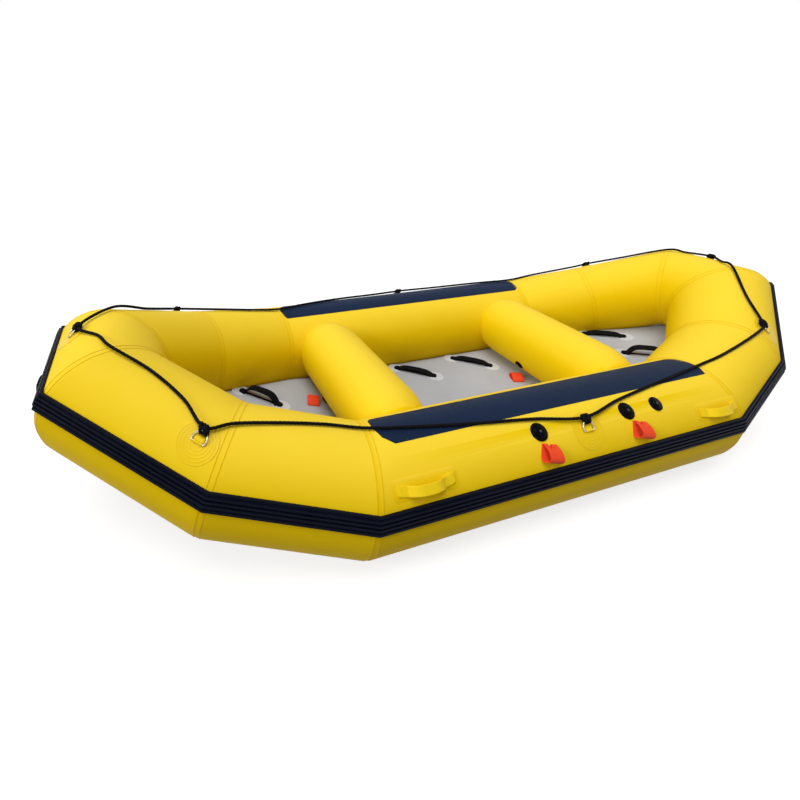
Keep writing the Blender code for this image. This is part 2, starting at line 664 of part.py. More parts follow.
def relief_valve(spot):
    inner = RELIEF_CROWN - RELIEF_WALL
    profile = [(0, RELIEF_CROWN), (RELIEF_BORE * 0.7, RELIEF_CROWN * 0.85), (RELIEF_BARREL, FLANGE_TOP),
               (RELIEF_FLANGE - GAP, FLANGE_TOP), (RELIEF_FLANGE, FLANGE_TOP / 2), (RELIEF_FLANGE, GAP),
               (RELIEF_BARREL, GAP), (RELIEF_BARREL, -RELIEF_DEPTH), (RELIEF_SEAT, -RELIEF_DEPTH),
               (RELIEF_SEAT, -RELIEF_DEPTH + RELIEF_WALL), (RELIEF_BORE, -RELIEF_DEPTH + RELIEF_WALL),
               (RELIEF_BORE, GAP), (RELIEF_BORE * 0.6, inner * 0.85), (0, inner)]
    body = turned(profile, spot, closed=False)
    for third in range(3):
        shift = Matrix.Rotation(math.tau * third / 3, 4, "Z") @ Matrix.Translation((RELIEF_BORE * 0.62, 0, 0))
        vent = cylinder(RELIEF_WALL / 2, 0, RELIEF_CROWN + OVERRUN, spot @ shift, 6)
        combine(body, vent, "DIFFERENCE")
    settle("relief_valve_body", [body], black_plastic())
    seat = -RELIEF_DEPTH + RELIEF_WALL + GAP
    disc = [(0, DISC_STEM_TOP), (DISC_STEM, DISC_STEM_TOP), (DISC_STEM, seat + DISC_HEIGHT),
            (DISC_RADIUS, seat + DISC_HEIGHT), (DISC_RADIUS, seat), (0, seat)]
    settle("relief_valve_disc", [turned(disc, spot, 8, closed=False)], black_plastic(), spot.translation)


# Rings, keepers and grab line

def bar_height():
    return GAP + PATCH_THICKNESS / 2 + KEEPER_WALL + GAP + RING_WIRE


def ring_spot(name):
    return hull_spot(*RINGS[name])


def d_ring(name):
    spot = ring_spot(name)
    half = RING_WIDTH / 2
    straight = RING_HEIGHT - half
    outline = [(0, -half + RING_CORNER), (0, half - RING_CORNER), (RING_CORNER, half), (straight, half)]
    bow = arc((straight, 0), half, 90, -90, 8)[1:-1]
    outline += bow + [(straight, -half), (RING_CORNER, -half)]
    lift = Matrix.Translation((0, 0, bar_height())) @ Matrix.Rotation(-math.radians(RING_LIFT), 4, "Y")
    points = [spot @ lift @ Vector((x, y, 0)) for x, y in outline]
    return settle(name + "_d_ring", [bar_along(points, RING_WIRE, True, 1)], steel(),
                  spot @ Vector((0, 0, bar_height())))


def ring_patch(name):
    # Round glued patch with a webbing keeper, folded round the ring's bar and sewn down the slope
    spot = ring_spot(name) @ Matrix.Rotation(-QUARTER, 4, "Z")
    hole = RING_WIRE + GAP
    outer = hole + KEEPER_WALL
    middle = bar_height()
    ring = arc((0, middle), outer, 90, -90, 5)
    tail_top = middle - outer + 2 * KEEPER_WALL
    outline = ring + [(-KEEPER_TAIL, middle - outer), (-KEEPER_TAIL, tail_top), (-outer * 1.6, tail_top)]
    keeper = meshed(flat_strip([outline, arc((0, middle), hole, 0, 315, 7)], KEEPER_WIDTH, spot))
    disc = patch(*RINGS[name], round_outline(RING_PATCH_RADIUS), PATCH_THICKNESS)
    return settle(name + "_ring_patch", [combine(disc, keeper, "UNION")], hull_fabric())


def smooth_closed(points, step):
    # Even samples of the smooth closed curve through the points
    samples = []
    count = len(points)
    for i in range(count):
        a, b, c, d = (points[(i + j) % count] for j in (-1, 0, 1, 2))
        parts_here = max(1, round((c - b).length / step + 1 / 4))
        for j in range(parts_here):
            s = j / parts_here
            samples.append(((2 * b) + (c - a) * s + (2 * a - 5 * b + 4 * c - d) * s ** 2
                            + (3 * b - a - 3 * c + d) * s ** 3) / 2)
    return samples


def hitch_point(name):
    place, degrees = RINGS[name]
    lift = PATCH_THICKNESS + 2 * HITCH_RADIUS + ROPE_RADIUS + 4 * GAP
    return hull_point(place, degrees + HITCH_SWING, lift)


def line_point(stop):
    # A stop on the route is the name of a ring, or a place on the hull
    if isinstance(stop, str):
        return hitch_point(stop)
    place, degrees = stop
    ridge = ROPE_RADIUS / 2 if place == round(place) else 0.0
    return hull_point(place, degrees, PAD_THICKNESS + ROPE_RADIUS + 4 * GAP + ridge)


def grab_line():
    starboard = [stop.replace("port", "starboard") if isinstance(stop, str) else (5 - stop[0], stop[1])
                 for stop in PORT_ROUTE[-2:1:-1]]
    route = [line_point(stop) for stop in PORT_ROUTE + starboard]
    line = meshed(bar_along(smooth_closed(route, ROPE_STEP), ROPE_RADIUS, True, 2))
    for name in RINGS:
        combine(line, meshed(hitch(name)), "UNION")
    return settle("grab_line", [line], finish("rope", BLACK, 0.9))


def hitch(name):
    # One thick turn of the line round itself and the top of the ring
    spot = ring_spot(name)
    lift = math.radians(RING_LIFT)
    wire = Vector((RING_HEIGHT * math.cos(lift), 0, bar_height() + RING_HEIGHT * math.sin(lift)))
    line = spot.inverted() @ hitch_point(name)
    reach = (line - wire)
    along = reach.normalized()
    aside = Vector((-along.z, 0, along.x))
    steps = 3
    round_wire = (RING_WIRE + HITCH_RADIUS + 2 * GAP) / math.cos(math.pi / steps / 2)
    round_line = ROPE_RADIUS + HITCH_RADIUS / 2
    points = []
    for centre, radius, start in ((line, round_line, -90), (wire, round_wire, 90)):
        for i in range(steps + 1):
            angle = math.radians(start + 180 * i / steps)
            points.append(spot @ (centre + along * radius * math.cos(angle) + aside * radius * math.sin(angle)))
    return bar_along(points, HITCH_RADIUS, True, 0)


# Handles and loops

def strap_handle(spot, length, foot, rise, width, thickness):
    # Arched strap with a flat foot at each end, along the spot's Y
    half = length / 2
    crown = half - foot
    steps = 8
    top = [(-half, thickness)]
    low = [(-half, 0.0)]
    for i in range(steps + 1):
        y = -crown + 2 * crown * i / steps
        z = rise * (1 - (y / crown) ** 4)
        top.append((y, z + thickness))
        low.append((y, z))
    top.append((half, thickness))
    low.append((half, 0.0))
    return flat_strip([low + top[::-1]], width, spot @ Matrix.Translation((0, 0, GAP)))


def strap_loop(spot):
    # Folded strap with an open eye at one end and its two layers glued together along the tail
    outer = LOOP_EYE + LOOP_WALL
    middle = LOOP_TAIL / 2
    eye = arc((middle, outer), LOOP_EYE, 0, 324, 9)
    outline = arc((middle, outer), outer, -90, 100, 6)
    outline += [(middle - outer * 1.8, 2 * LOOP_WALL), (-outer - middle, 2 * LOOP_WALL), (-outer - middle, 0.0)]
    return flat_strip([outline, eye], LOOP_WIDTH, spot @ Matrix.Translation((0, 0, GAP)))


def carry_handle(name, place, degrees, material):
    # Glued patch with its arched strap
    spot = hull_spot(place, degrees)
    oblong = rounded_oblong(CARRY_PATCH_WIDTH / 2, CARRY_PATCH_LENGTH / 2, CARRY_PATCH_WIDTH / 4)
    base = patch(place, degrees, oblong, PATCH_THICKNESS)
    strap = strap_handle(spot @ Matrix.Translation((0, 0, PATCH_THICKNESS / 2)),
                         CARRY_LENGTH, CARRY_FOOT, CARRY_RISE, CARRY_WIDTH, CARRY_THICKNESS)
    return settle(name, [combine(base, meshed(strap), "UNION")], material)


def floor_spot(x, y, turn):
    tilt = math.atan(FLOOR_SLOPE) * (abs(x) > FLOOR_FLAT_HALF) * (-1 if x > 0 else 1)
    return (Matrix.Translation((x, y, FLOOR_TOP + floor_rise(x))) @ Matrix.Rotation(tilt, 4, "Y")
            @ Matrix.Rotation(math.radians(turn), 4, "Z"))


def handles_and_loops():
    for name, x, side in CARRY_PLACES:
        carry_handle(name + "_carry_handle", side_place(x, side), CARRY_ANGLE, hull_fabric())
    for name, place in END_CARRY_PLACES:
        carry_handle(name + "_carry_handle", place, END_CARRY_ANGLE, webbing())
    for name, x, y, rise in FLOOR_HANDLES:
        strap = strap_handle(floor_spot(x, y, FLOOR_HANDLE_TURN - 90), FLOOR_HANDLE_LENGTH, FLOOR_HANDLE_FOOT,
                             rise, FLOOR_HANDLE_WIDTH, FLOOR_HANDLE_THICKNESS)
        settle(name + "_floor_handle", [strap], webbing())
    down = Matrix.Rotation(QUARTER, 4, "Z") @ Matrix.Translation((0, SIDE_LOOP_DROP, 0))
    orange = finish("orange_strap", ORANGE, 0.5)
    for name, x in SIDE_LOOPS:
        settle(name + "_side_loop", [strap_loop(hull_spot(side_place(x, -1), SIDE_LOOP_ANGLE) @ down)], orange)
    for name, x, y in FLOOR_LOOPS:
        settle(name + "_floor_loop", [strap_loop(floor_spot(x, y, 0))], orange)


# The whole raft

TUBES = [("bow_tube", 0, 5), ("starboard_side_tube", 5, 1), ("stern_tube", 6, 5), ("port_side_tube", 11, 1)]


def hull_tubes():
    for name, first, count in TUBES:
        tube = sleeve(first, count, TUBE_RADIUS, TUBE_RADIUS - TUBE_WALL, GAP / 2)
        if name == "port_side_tube":
            holes = [(x, BARREL_RADIUS) for x, _ in VALVE_PLACES_X] + [(RELIEF_X, RELIEF_BARREL)]
            for x, radius in holes:
                spot = hull_spot(side_place(x, -1), VALVE_ANGLE)
                combine(tube, cylinder(radius + GAP, -OVERRUN, OVERRUN, spot), "DIFFERENCE")
        settle(name, [tube], hull_fabric())


def build():
    hull_tubes()
    baffle("port_baffle", -1)
    baffle("starboard_baffle", 1)
    rub_strake()
    wear_pad("port_wear_pad", -1)
    wear_pad("starboard_wear_pad", 1)
    inflatable_floor()
    for x, end in ((-SEAT_X, "bow"), (SEAT_X, "stern")):
        cross_seat(end + "_seat", x)
        inflation_valve(end + "_seat_valve", seat_valve_spot(x))
    for x, name in VALVE_PLACES_X:
        inflation_valve(name, hull_spot(side_place(x, -1), VALVE_ANGLE), sprung=True)
    inflation_valve("floor_valve", Matrix.Translation((FLOOR_VALVE_X, FLOOR_VALVE_Y, FLOOR_TOP)))
    relief_valve(hull_spot(side_place(RELIEF_X, -1), VALVE_ANGLE))
    for name in RINGS:
        d_ring(name)
        ring_patch(name)
    handles_and_loops()
    grab_line()


build()
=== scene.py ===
import bmesh
import bpy
import math
from mathutils import Matrix, Vector


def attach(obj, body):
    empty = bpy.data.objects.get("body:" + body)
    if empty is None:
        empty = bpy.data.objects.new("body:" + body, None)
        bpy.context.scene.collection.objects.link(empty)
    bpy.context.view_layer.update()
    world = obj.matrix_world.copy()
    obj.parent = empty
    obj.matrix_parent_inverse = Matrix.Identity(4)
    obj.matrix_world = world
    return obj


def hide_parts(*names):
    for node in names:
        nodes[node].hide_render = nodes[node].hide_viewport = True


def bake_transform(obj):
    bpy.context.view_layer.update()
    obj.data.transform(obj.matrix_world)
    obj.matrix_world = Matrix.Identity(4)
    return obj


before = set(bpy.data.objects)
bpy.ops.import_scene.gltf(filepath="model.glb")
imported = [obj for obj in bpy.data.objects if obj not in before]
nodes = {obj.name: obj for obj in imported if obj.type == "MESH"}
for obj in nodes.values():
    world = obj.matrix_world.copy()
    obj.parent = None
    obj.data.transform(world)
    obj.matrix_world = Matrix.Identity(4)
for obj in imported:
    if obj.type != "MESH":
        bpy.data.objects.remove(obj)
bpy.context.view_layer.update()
print("frame loaded:", len(nodes), "nodes")


# Where the camera stood: metres, degrees, pixels of the photograph and millimetres of film
camera = {"place": (-1.5049, -1.8458, 1.5374), "yaw": 18.843, "pitch": 19.513, "roll": 0.712,
          "focal": 473.87, "centre": (302.7, 282.1), "pixels": 800, "sensor": 36}


def turned(degrees, axis):
    return Matrix.Rotation(math.radians(degrees), 4, axis)


def moved(x, y, z):
    return Matrix.Translation((x, y, z))


def facing(x, y, z):
    return Matrix((x, y, z)).transposed().to_4x4()


def linked(name, data):
    made = bpy.data.objects.new(name, data)
    bpy.context.scene.collection.objects.link(made)
    return made


def makeCamera():
    yaw, pitch, roll = (math.radians(camera[k]) for k in ("yaw", "pitch", "roll"))
    ahead = Vector((math.sin(yaw) * math.cos(pitch), math.cos(yaw) * math.cos(pitch), -math.sin(pitch)))
    flatRight = ahead.cross(Vector((0, 0, 1))).normalized()
    flatUp = flatRight.cross(ahead)
    right = flatRight * math.cos(roll) + flatUp * math.sin(roll)
    up = flatUp * math.cos(roll) - flatRight * math.sin(roll)
    data = bpy.data.cameras.new("camera")
    data.sensor_width = camera["sensor"]
    data.lens = camera["sensor"] * camera["focal"] / camera["pixels"]
    data.shift_x = 0.5 - camera["centre"][0] / camera["pixels"]
    data.shift_y = camera["centre"][1] / camera["pixels"] - 0.5
    eye = linked("camera", data)
    eye.matrix_world = moved(*camera["place"]) @ facing(right, up, -ahead)
    bpy.context.scene.camera = eye


makeCamera()


# The hull as part.py has it: twelve mitred tubes, counted by their corners from the bow on the port side
hull = {"radius": 0.235, "facetRadius": 0.234276, "skin": 0.2349, "sides": 96, "wall": 0.0015, "glue": 0.0002,
        "corners": [(0.848, 0.5853, 0), (1.3214, 0.4366, 0.0956), (1.6971, 0.151, 0.2697)],
        "creaseWidth": 0.026, "creaseSteps": 4, "mitreReach": 0.3, "spare": 0.5}


def hullCorners():
    points = []
    for sx, sy, order in ((-1, -1, 1), (-1, 1, -1), (1, 1, 1), (1, -1, -1)):
        for x, y, z in hull["corners"][::order]:
            points.append(Vector((sx * x, sy * y, z + hull["facetRadius"])))
    return points


corners = hullCorners()
count = len(corners)
along = [(corners[(k + 1) % count] - corners[k]).normalized() for k in range(count)]
mitres = [(along[k - 1] + along[k]).normalized() for k in range(count)]


def tubeFrames():
    frames = {count - 1: (along[-1], Vector((0, -1, 0)), Vector((0, 0, 1)))}
    outward, upward = frames[count - 1][1:]
    for k in range(count - 1):
        outward = outward - 2 * outward.dot(mitres[k]) * mitres[k]
        upward = upward - 2 * upward.dot(mitres[k]) * mitres[k]
        frames[k] = (along[k], outward, upward)
    return frames


frames = tubeFrames()


def mitrePoint(k, angle, radius):
    t, n, u = frames[(k - 1) % count]
    m = mitres[k % count]
    out = math.cos(angle) * n + math.sin(angle) * u
    return corners[k % count] + radius * (out - t * (out.dot(m) / t.dot(m)))


def hullPoint(place, degrees, lift=0):
    k, angle, radius = math.floor(place), math.radians(degrees), hull["radius"] + lift
    return mitrePoint(k, angle, radius).lerp(mitrePoint(k + 1, angle, radius), place - k)


def hullSpot(place, degrees):
    # X up the slope, Y along the tube, Z out of the skin
    k = math.floor(place) % count
    t, n, u = frames[k]
    angle = math.radians(degrees)
    out = math.cos(angle) * n + math.sin(angle) * u
    spot = facing(t.cross(out), t, out)
    centre = corners[k] + t * (hullPoint(place, degrees) - corners[k]).dot(t)
    spot.translation = centre + out * hull["facetRadius"]
    return spot


def sidePlace(x, side):
    share = (x - corners[0].x) / (corners[11].x - corners[0].x)
    return -share if side < 0 else 5 + share


# Shader maths written as sums on sockets
class Signal:
    def __init__(self, maker, socket):
        self.maker, self.socket = maker, socket

    def __add__(self, other):
        return self.maker.maths("ADD", self, other)

    def __sub__(self, other):
        return self.maker.maths("SUBTRACT", self, other)

    def __rsub__(self, other):
        return self.maker.maths("SUBTRACT", other, self)

    def __mul__(self, other):
        return self.maker.maths("MULTIPLY", self, other)

    __radd__, __rmul__ = __add__, __mul__

    def __pow__(self, other):
        return self.maker.maths("POWER", self, other)


class Maker:
    def __init__(self, name, colour, roughness, metallic=0, sheen=0, specular=0.5):
        self.material = bpy.data.materials.new(name)
        self.material.use_nodes = True
        self.tree = self.material.node_tree
        self.shader = self.tree.nodes["Principled BSDF"]
        for key, value in (("Base Color", (*colour, 1)), ("Roughness", roughness), ("Metallic", metallic),
                           ("Sheen Weight", sheen), ("Specular IOR Level", specular), ("Coat Roughness", 0.12)):
            self.shader.inputs[key].default_value = value
        self.material.diffuse_color = (*colour, 1)

    def node(self, kind, settings=None, inputs=None, out=0):
        made = self.tree.nodes.new("ShaderNode" + kind)
        for key, value in (settings or {}).items():
            setattr(made, key, value)
        for key, value in (inputs or {}).items():
            if isinstance(value, Signal):
                self.tree.links.new(value.socket, made.inputs[key])
            else:
                made.inputs[key].default_value = value
        return Signal(self, made.outputs[out])

    def maths(self, operation, a, b=0, clamp=False):
        return self.node("Math", {"operation": operation, "use_clamp": clamp}, {0: a, 1: b})

    def clamped(self, value):
        return self.maths("ADD", value, 0, True)

    def mix(self, factor, a, b):
        a, b = (c if isinstance(c, Signal) else (*c, 1) for c in (a, b))
        return self.node("Mix", {"data_type": "RGBA"}, {0: self.clamped(factor), 6: a, 7: b}, 2)

    def place(self, scale=(1, 1, 1)):
        return self.node("Mapping", None, {"Vector": self.node("TexCoord", out=3), "Scale": scale})

    def flat(self):
        return self.node("Mapping", None, {"Vector": self.node("UVMap", {"uv_map": "flat"})})

    def fromMiddle(self):
        return self.node("VectorMath", {"operation": "LENGTH"}, {0: self.flat()}, 1)

    def wave(self, direction, scale, where=None, distortion=0):
        return self.node("TexWave", {"bands_direction": direction}, {"Vector": where or self.place(), "Scale": scale,
                                                                     "Distortion": distortion})

    def noise(self, scale, detail=3, where=None, roughness=0.5):
        return self.node("TexNoise", None, {"Vector": where or self.place(), "Scale": scale, "Detail": detail,
                                            "Roughness": roughness})

    def drive(self, key, value):
        self.tree.links.new(value.socket, self.shader.inputs[key])

    def paint(self, factor, a, b):
        self.drive("Base Color", self.mix(factor, a, b))

    def roughen(self, noise, spread, low):
        self.drive("Roughness", self.clamped(noise * spread + low))

    def bumps(self, *layers):
        # Each layer is (height, strength, distance in metres)
        normal = None
        for height, strength, distance in layers:
            inputs = {"Height": height, "Strength": strength, "Distance": distance}
            if normal:
                inputs["Normal"] = normal
            normal = self.node("Bump", None, inputs)
        self.drive("Normal", normal)


# Finishes: linear colours, and the sizes of their texture as repeats per metre
# The pale yellow is painted top light, mixed onto faces that look up
looks = {"yellow": (0.84, 0.575, 0.004), "yellowDeep": (0.77, 0.5, 0.002), "tapeEdgeShade": (0.7, 0.46, 0.002),
         "yellowPaintedTopLight": (0.93, 0.665, 0.05), "glance": (1, 0.75, 0.15),
         "navy": (0.003, 0.009, 0.026), "navyPale": (0.004, 0.015, 0.047), "floor": (0.44, 0.46, 0.5),
         "floorDull": (0.37, 0.385, 0.42), "floorPale": (0.62, 0.64, 0.68), "black": (0.004, 0.004, 0.005),
         "orange": (0.78, 0.06, 0.012), "grain": 900}


def coatedFabric(name, colour, deeper, roughness, specular, grain, wrinkle, paintedTopLight=None):
    m = Maker(name, looks[colour], roughness, specular=specular)
    broad, patchy = m.noise(1.6, 3), m.noise(11, 4)
    shade = m.mix(broad * 0.8 + patchy * 0.3 - 0.2, looks[colour], looks[deeper])
    if paintedTopLight:
        # Painted top light: what faces up is painted paler, standing in for light from above
        upward = m.node("Attribute", {"attribute_name": "upward"}, None, 2)
        shade = m.mix(upward * 1.2 - 0.5 + patchy * 0.2, shade, looks[paintedTopLight])
        m.shader.inputs["Specular Tint"].default_value = (*looks["glance"], 1)
    m.drive("Base Color", shade)
    m.roughen(m.noise(30, 5), 0.14, roughness - 0.07)
    m.bumps((m.noise(3.2, 2, roughness=0.4), wrinkle, 0.01), (m.noise(grain, 2), 0.1, 0.0004))
    return m.material


def floorFabric():
    m = Maker("floorFabric", looks["floor"], 0.52, specular=0.25)
    stains = m.noise(3, 5, roughness=0.6)
    m.paint(stains * 1.6 - 0.45, looks["floor"], looks["floorDull"])
    weave = m.node("TexVoronoi", {"feature": "F1"}, {"Vector": m.place(), "Scale": 190})
    m.roughen(m.noise(24, 3), 0.16, 0.44)
    m.bumps((m.noise(4, 3), 0.2, 0.008), (weave, 0.22, 0.0006))
    return m.material


def strakeRubber():
    m = Maker("strakeRubber", (0.002, 0.003, 0.01), 0.5, specular=0.06)
    rub = m.noise(7, 5, roughness=0.65)
    m.paint(rub * 1.8 - 0.55, (0.0015, 0.0025, 0.008), (0.005, 0.007, 0.017))
    m.roughen(m.noise(50, 4), 0.25, 0.36)
    m.bumps((m.wave("DIAGONAL", 90), 0.5, 0.0009), (m.noise(700, 2), 0.15, 0.0004))
    return m.material


def wovenWebbing(name, colour, roughness, shine=0.15):
    # Herringbone ribs along the strap, from the strap's own flat coordinates in metres
    colour = looks[colour]
    m = Maker(name, colour, roughness, sheen=shine / 8, specular=shine)
    ribs, picks = m.wave("X", 95, m.flat(), 0.4), m.wave("DIAGONAL", 160, m.flat())
    pale = tuple(min(1, c * 1.25 + 0.003) for c in colour)
    m.paint(ribs * 0.3 + picks * 0.3 + m.noise(60, 3) * 0.4 - 0.2, colour, pale)
    m.roughen(m.noise(80, 3), 0.2, roughness - 0.1)
    m.bumps((ribs, 0.5, 0.0008), (picks, 0.4, 0.0005))
    return m.material


def ropeFibre():
    m = Maker("ropeFibre", (0.004, 0.004, 0.005), 0.75, specular=0.05)
    fuzz = m.noise(420, 4, roughness=0.7)
    m.paint(fuzz * 2 - 0.8, (0.002, 0.002, 0.003), (0.014, 0.014, 0.016))
    m.roughen(fuzz, 0.3, 0.55)
    m.bumps((fuzz, 0.6, 0.0009))
    return m.material


def polishedSteel():
    m = Maker("polishedSteel", (0.78, 0.74, 0.62), 0.22, metallic=1)
    scratch = m.noise(260, 5, m.place((1, 1, 6)), 0.7)
    m.roughen(scratch, 0.25, 0.12)
    m.paint(m.noise(70, 3) * 1.4 - 0.3, (0.56, 0.53, 0.45), (0.42, 0.37, 0.27))
    m.bumps((scratch, 0.12, 0.0003))
    return m.material


def mouldedPlastic():
    m = Maker("mouldedPlastic", (0.002, 0.002, 0.003), 0.22, specular=0.03)
    spark = m.noise(1400, 2)
    m.paint(m.noise(40, 4) * 1.5 - 0.4, (0.001, 0.001, 0.002), (0.003, 0.003, 0.004))
    m.roughen(m.noise(90, 4), 0.16, 0.12)
    # The moulded button in the middle of a cap is polished
    m.drive("Coat Weight", m.clamped((0.0055 - m.fromMiddle()) * 900))
    m.bumps((spark, 0.18, 0.0002))
    return m.material


def ringedPatch():
    # Glued round patch: pressed rings round its middle, from its flat coordinates in metres
    m = Maker("ringedPatch", looks["yellow"], 0.42, specular=0.2)
    m.paint(m.noise(9, 4) * 1.2 - 0.3, looks["yellow"], looks["yellowDeep"])
    rings = m.maths("SINE", m.fromMiddle() * (math.tau / 0.011)) * 0.5 + 0.5
    m.roughen(m.noise(30, 3), 0.14, 0.35)
    m.bumps((rings ** 3, 0.5, 0.001), (m.noise(looks["grain"], 2), 0.1, 0.0004))
    return m.material


# The last colour is painted top light on faces that look up
hullFabric = coatedFabric("hullFabric", "yellow", "yellowDeep", 0.56, 0.07, looks["grain"], 0.16, "yellowPaintedTopLight")
# The seam strips are painted darker than the hull as painted shade along the tape edges, and paler on top as painted
# top light
tapeFabric = coatedFabric("tapeFabric", "yellowDeep", "tapeEdgeShade", 0.46, 0.12, looks["grain"], 0.05, "yellow")
padFabric = coatedFabric("padFabric", "navyPale", "navy", 0.55, 0.08, 520, 0.1)
paleFabric = coatedFabric("paleFabric", "floorPale", "floor", 0.5, 0.25, 700, 0.05)
deckFabric, strakeSkin, ropeSkin = floorFabric(), strakeRubber(), ropeFibre()
blackWebbing = wovenWebbing("blackWebbing", "black", 0.72, 0.03)
orangeStrap = wovenWebbing("orangeStrap", "orange", 0.5)
yellowStrap = wovenWebbing("yellowStrap", "yellow", 0.46)
steel, plastic, patchFabric = polishedSteel(), mouldedPlastic(), ringedPatch()
print("materials made")


# Tools for modelling by hand
def only(piece):
    if bpy.context.object and bpy.context.object.mode != "OBJECT":
        leave()
    bpy.ops.object.select_all(action="DESELECT")
    piece.select_set(True)
    bpy.context.view_layer.objects.active = piece


def start(kind, name, **settings):
    bpy.ops.object.select_all(action="DESELECT")
    getattr(bpy.ops.mesh, "primitive_" + kind + "_add")(**settings)
    piece = bpy.context.object
    piece.name = piece.data.name = name
    return piece


def place(piece, matrix):
    piece.matrix_world = matrix @ piece.matrix_world
    only(piece)
    bpy.ops.object.transform_apply(location=True, rotation=True, scale=True)
    return piece


def edit(piece, select=None):
    # Into edit mode with the points chosen by a rule on their place, or all of them
    only(piece)
    bpy.ops.object.mode_set(mode="EDIT")
    bpy.ops.mesh.select_mode(type="VERT")
    bpy.ops.mesh.select_all(action="SELECT" if select is None else "DESELECT")
    if select:
        mesh = bmesh.from_edit_mesh(piece.data)
        for v in mesh.verts:
            v.select_set(select(v.co))
        mesh.select_flush(True)
        bmesh.update_edit_mesh(piece.data)


def leave():
    bpy.ops.object.mode_set(mode="OBJECT")


def stretch(x, y, z=1, middle=(0, 0, 0)):
    bpy.ops.transform.resize(value=(x, y, z), center_override=middle)


def extrude(rise):
    bpy.ops.mesh.extrude_region_move(TRANSFORM_OT_translate={"value": (0, 0, rise)})


def mend(distance):
    bpy.ops.mesh.select_all(action="SELECT")
    bpy.ops.mesh.remove_doubles(threshold=distance)
    bpy.ops.mesh.normals_make_consistent(inside=False)


def cut(piece, point, normal):
    # What lies beyond the plane goes
    edit(piece)
    bpy.ops.mesh.bisect(plane_co=point, plane_no=normal, clear_outer=True)
    leave()


def modify(piece, kind, **settings):
    only(piece)
    modifier = piece.modifiers.new(kind.lower(), kind)
    for key, value in settings.items():
        setattr(modifier, key, value)
    bpy.ops.object.modifier_apply(modifier=modifier.name)


def carve(piece, tool, solver="EXACT"):
    modify(piece, "BOOLEAN", object=tool, operation="DIFFERENCE", solver=solver)
    bpy.data.objects.remove(tool)


def duplicate(piece, name):
    data = piece.data.copy()
    data.name = name
    return linked(name, data)


def joined(pieces, name):
    only(pieces[0])
    for other in pieces[1:]:
        other.select_set(True)
    bpy.ops.object.join()
    pieces[0].name = pieces[0].data.name = name
    return pieces[0]


def skinned(piece, material, angle):
    only(piece)
    bpy.ops.object.shade_smooth_by_angle(angle=math.radians(angle))
    piece.data.materials.clear()
    piece.data.materials.append(material)


def finished(piece, material, body="hull", stands=(), slot=None, angle=40):
    skinned(piece, material, angle)
    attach(piece, body)
    if stands:
        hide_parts(*stands)
    if slot == "hull_fabric":
        markUpward(piece)
    return piece


def markUpward(piece):
    # How far each point faces up, for the painted top light in the fabric's material
    upward = piece.data.attributes.new("upward", "FLOAT", "POINT")
    upward.data.foreach_set("value", [v.normal.z for v in piece.data.vertices])


def millimetres(points):
    return [(x / 1000, y / 1000) for x, y in points]


def lathe(name, profile, sides):
    # A circle extruded and scaled ring by ring along a profile of (radius, height)
    profile = [(max(radius, 1e-5), height) for radius, height in profile]
    radius, height = profile[0]
    piece = start("circle", name, vertices=sides, radius=radius, location=(0, 0, height))
    place(piece, Matrix())
    edit(piece)
    for nextRadius, nextHeight in profile[1:]:
        extrude(nextHeight - height)
        stretch(nextRadius / radius, nextRadius / radius)
        radius, height = nextRadius, nextHeight
    mend(4e-5)
    leave()
    return piece


def flatCoordinates(piece, spot):
    # Flat coordinates in metres, seen along the spot's Z
    back = spot.inverted()
    coordinates = piece.data.uv_layers.get("flat") or piece.data.uv_layers.new(name="flat")
    for loop in piece.data.loops:
        p = back @ piece.data.vertices[loop.vertex_index].co
        coordinates.data[loop.index].uv = (p.x, p.y)
    piece.data.uv_layers.active = coordinates


def skinPatch(name, where, degrees, outline, thickness, reach):
    # A layer on the tube, cut from a rolled sheet along each side of its outline
    spot = hullSpot(where, degrees)
    slope, run, out = (spot.col[i].to_3d() for i in range(3))
    piece = start("cylinder", name, vertices=160, radius=hull["skin"] + hull["glue"], depth=2 * reach,
                  end_fill_type="NOTHING")
    place(piece, moved(*(spot.translation - out * hull["facetRadius"])) @ facing(slope, -out, run))
    cut(piece, spot.translation - out * hull["radius"] / 2, -out)
    for (ax, ay), (bx, by) in zip(outline, outline[1:] + outline[:1]):
        side = Vector((by - ay, ax - bx, 0))
        if side.length > 1e-6:
            cut(piece, spot @ Vector((ax, ay, 0)), (spot.to_3x3() @ side).normalized())
    flatCoordinates(piece, spot)
    modify(piece, "SOLIDIFY", thickness=thickness, offset=1, use_even_offset=True)
    return piece


# Valves sit at these spots, each drawn about its own axis with zero on the skin
valveLook = {"angle": 54, "bow_valve": -0.178, "stern_valve": 0.263, "relief_valve": 0.425, "barrel": 0.02,
             "reliefBarrel": 0.017, "seatAngle": 213.75, "seatShare": 0.72, "seatY": 0.03,
             "floor": (0, -0.235, 0.123)}
seatLook = {"radius": 0.17, "facetRadius": 0.1692, "x": 0.595, "height": 0.123 + 0.0003 + 0.1692, "sides": 96,
            "press": 0.0006, "fill": 0.95,
            "ends": [(0, 0.484), (0.35, 0.478), (0.62, 0.455), (0.72, 0.438), (0.8, 0.42), (0.87, 0.401),
                     (0.92, 0.379), (0.96, 0.352), (0.985, 0.328), (1, 0.3)]}


def seatValveSpot(x):
    angle = math.radians(valveLook["seatAngle"])
    out, side = Vector((math.cos(angle), 0, math.sin(angle))), Vector((0, 1, 0))
    spot = facing(side.cross(out), side, out)
    spot.translation = Vector((x, valveLook["seatY"], seatLook["height"])) + out * seatLook["facetRadius"]
    return spot @ Matrix.Scale(valveLook["seatShare"], 4)


valveSpots = {name: hullSpot(sidePlace(valveLook[name], -1), valveLook["angle"])
              for name in ("bow_valve", "stern_valve", "relief_valve")}
valveSpots["floor_valve"] = moved(*valveLook["floor"])
valveSpots["bow_seat_valve"] = seatValveSpot(-seatLook["x"])
valveSpots["stern_seat_valve"] = seatValveSpot(seatLook["x"])


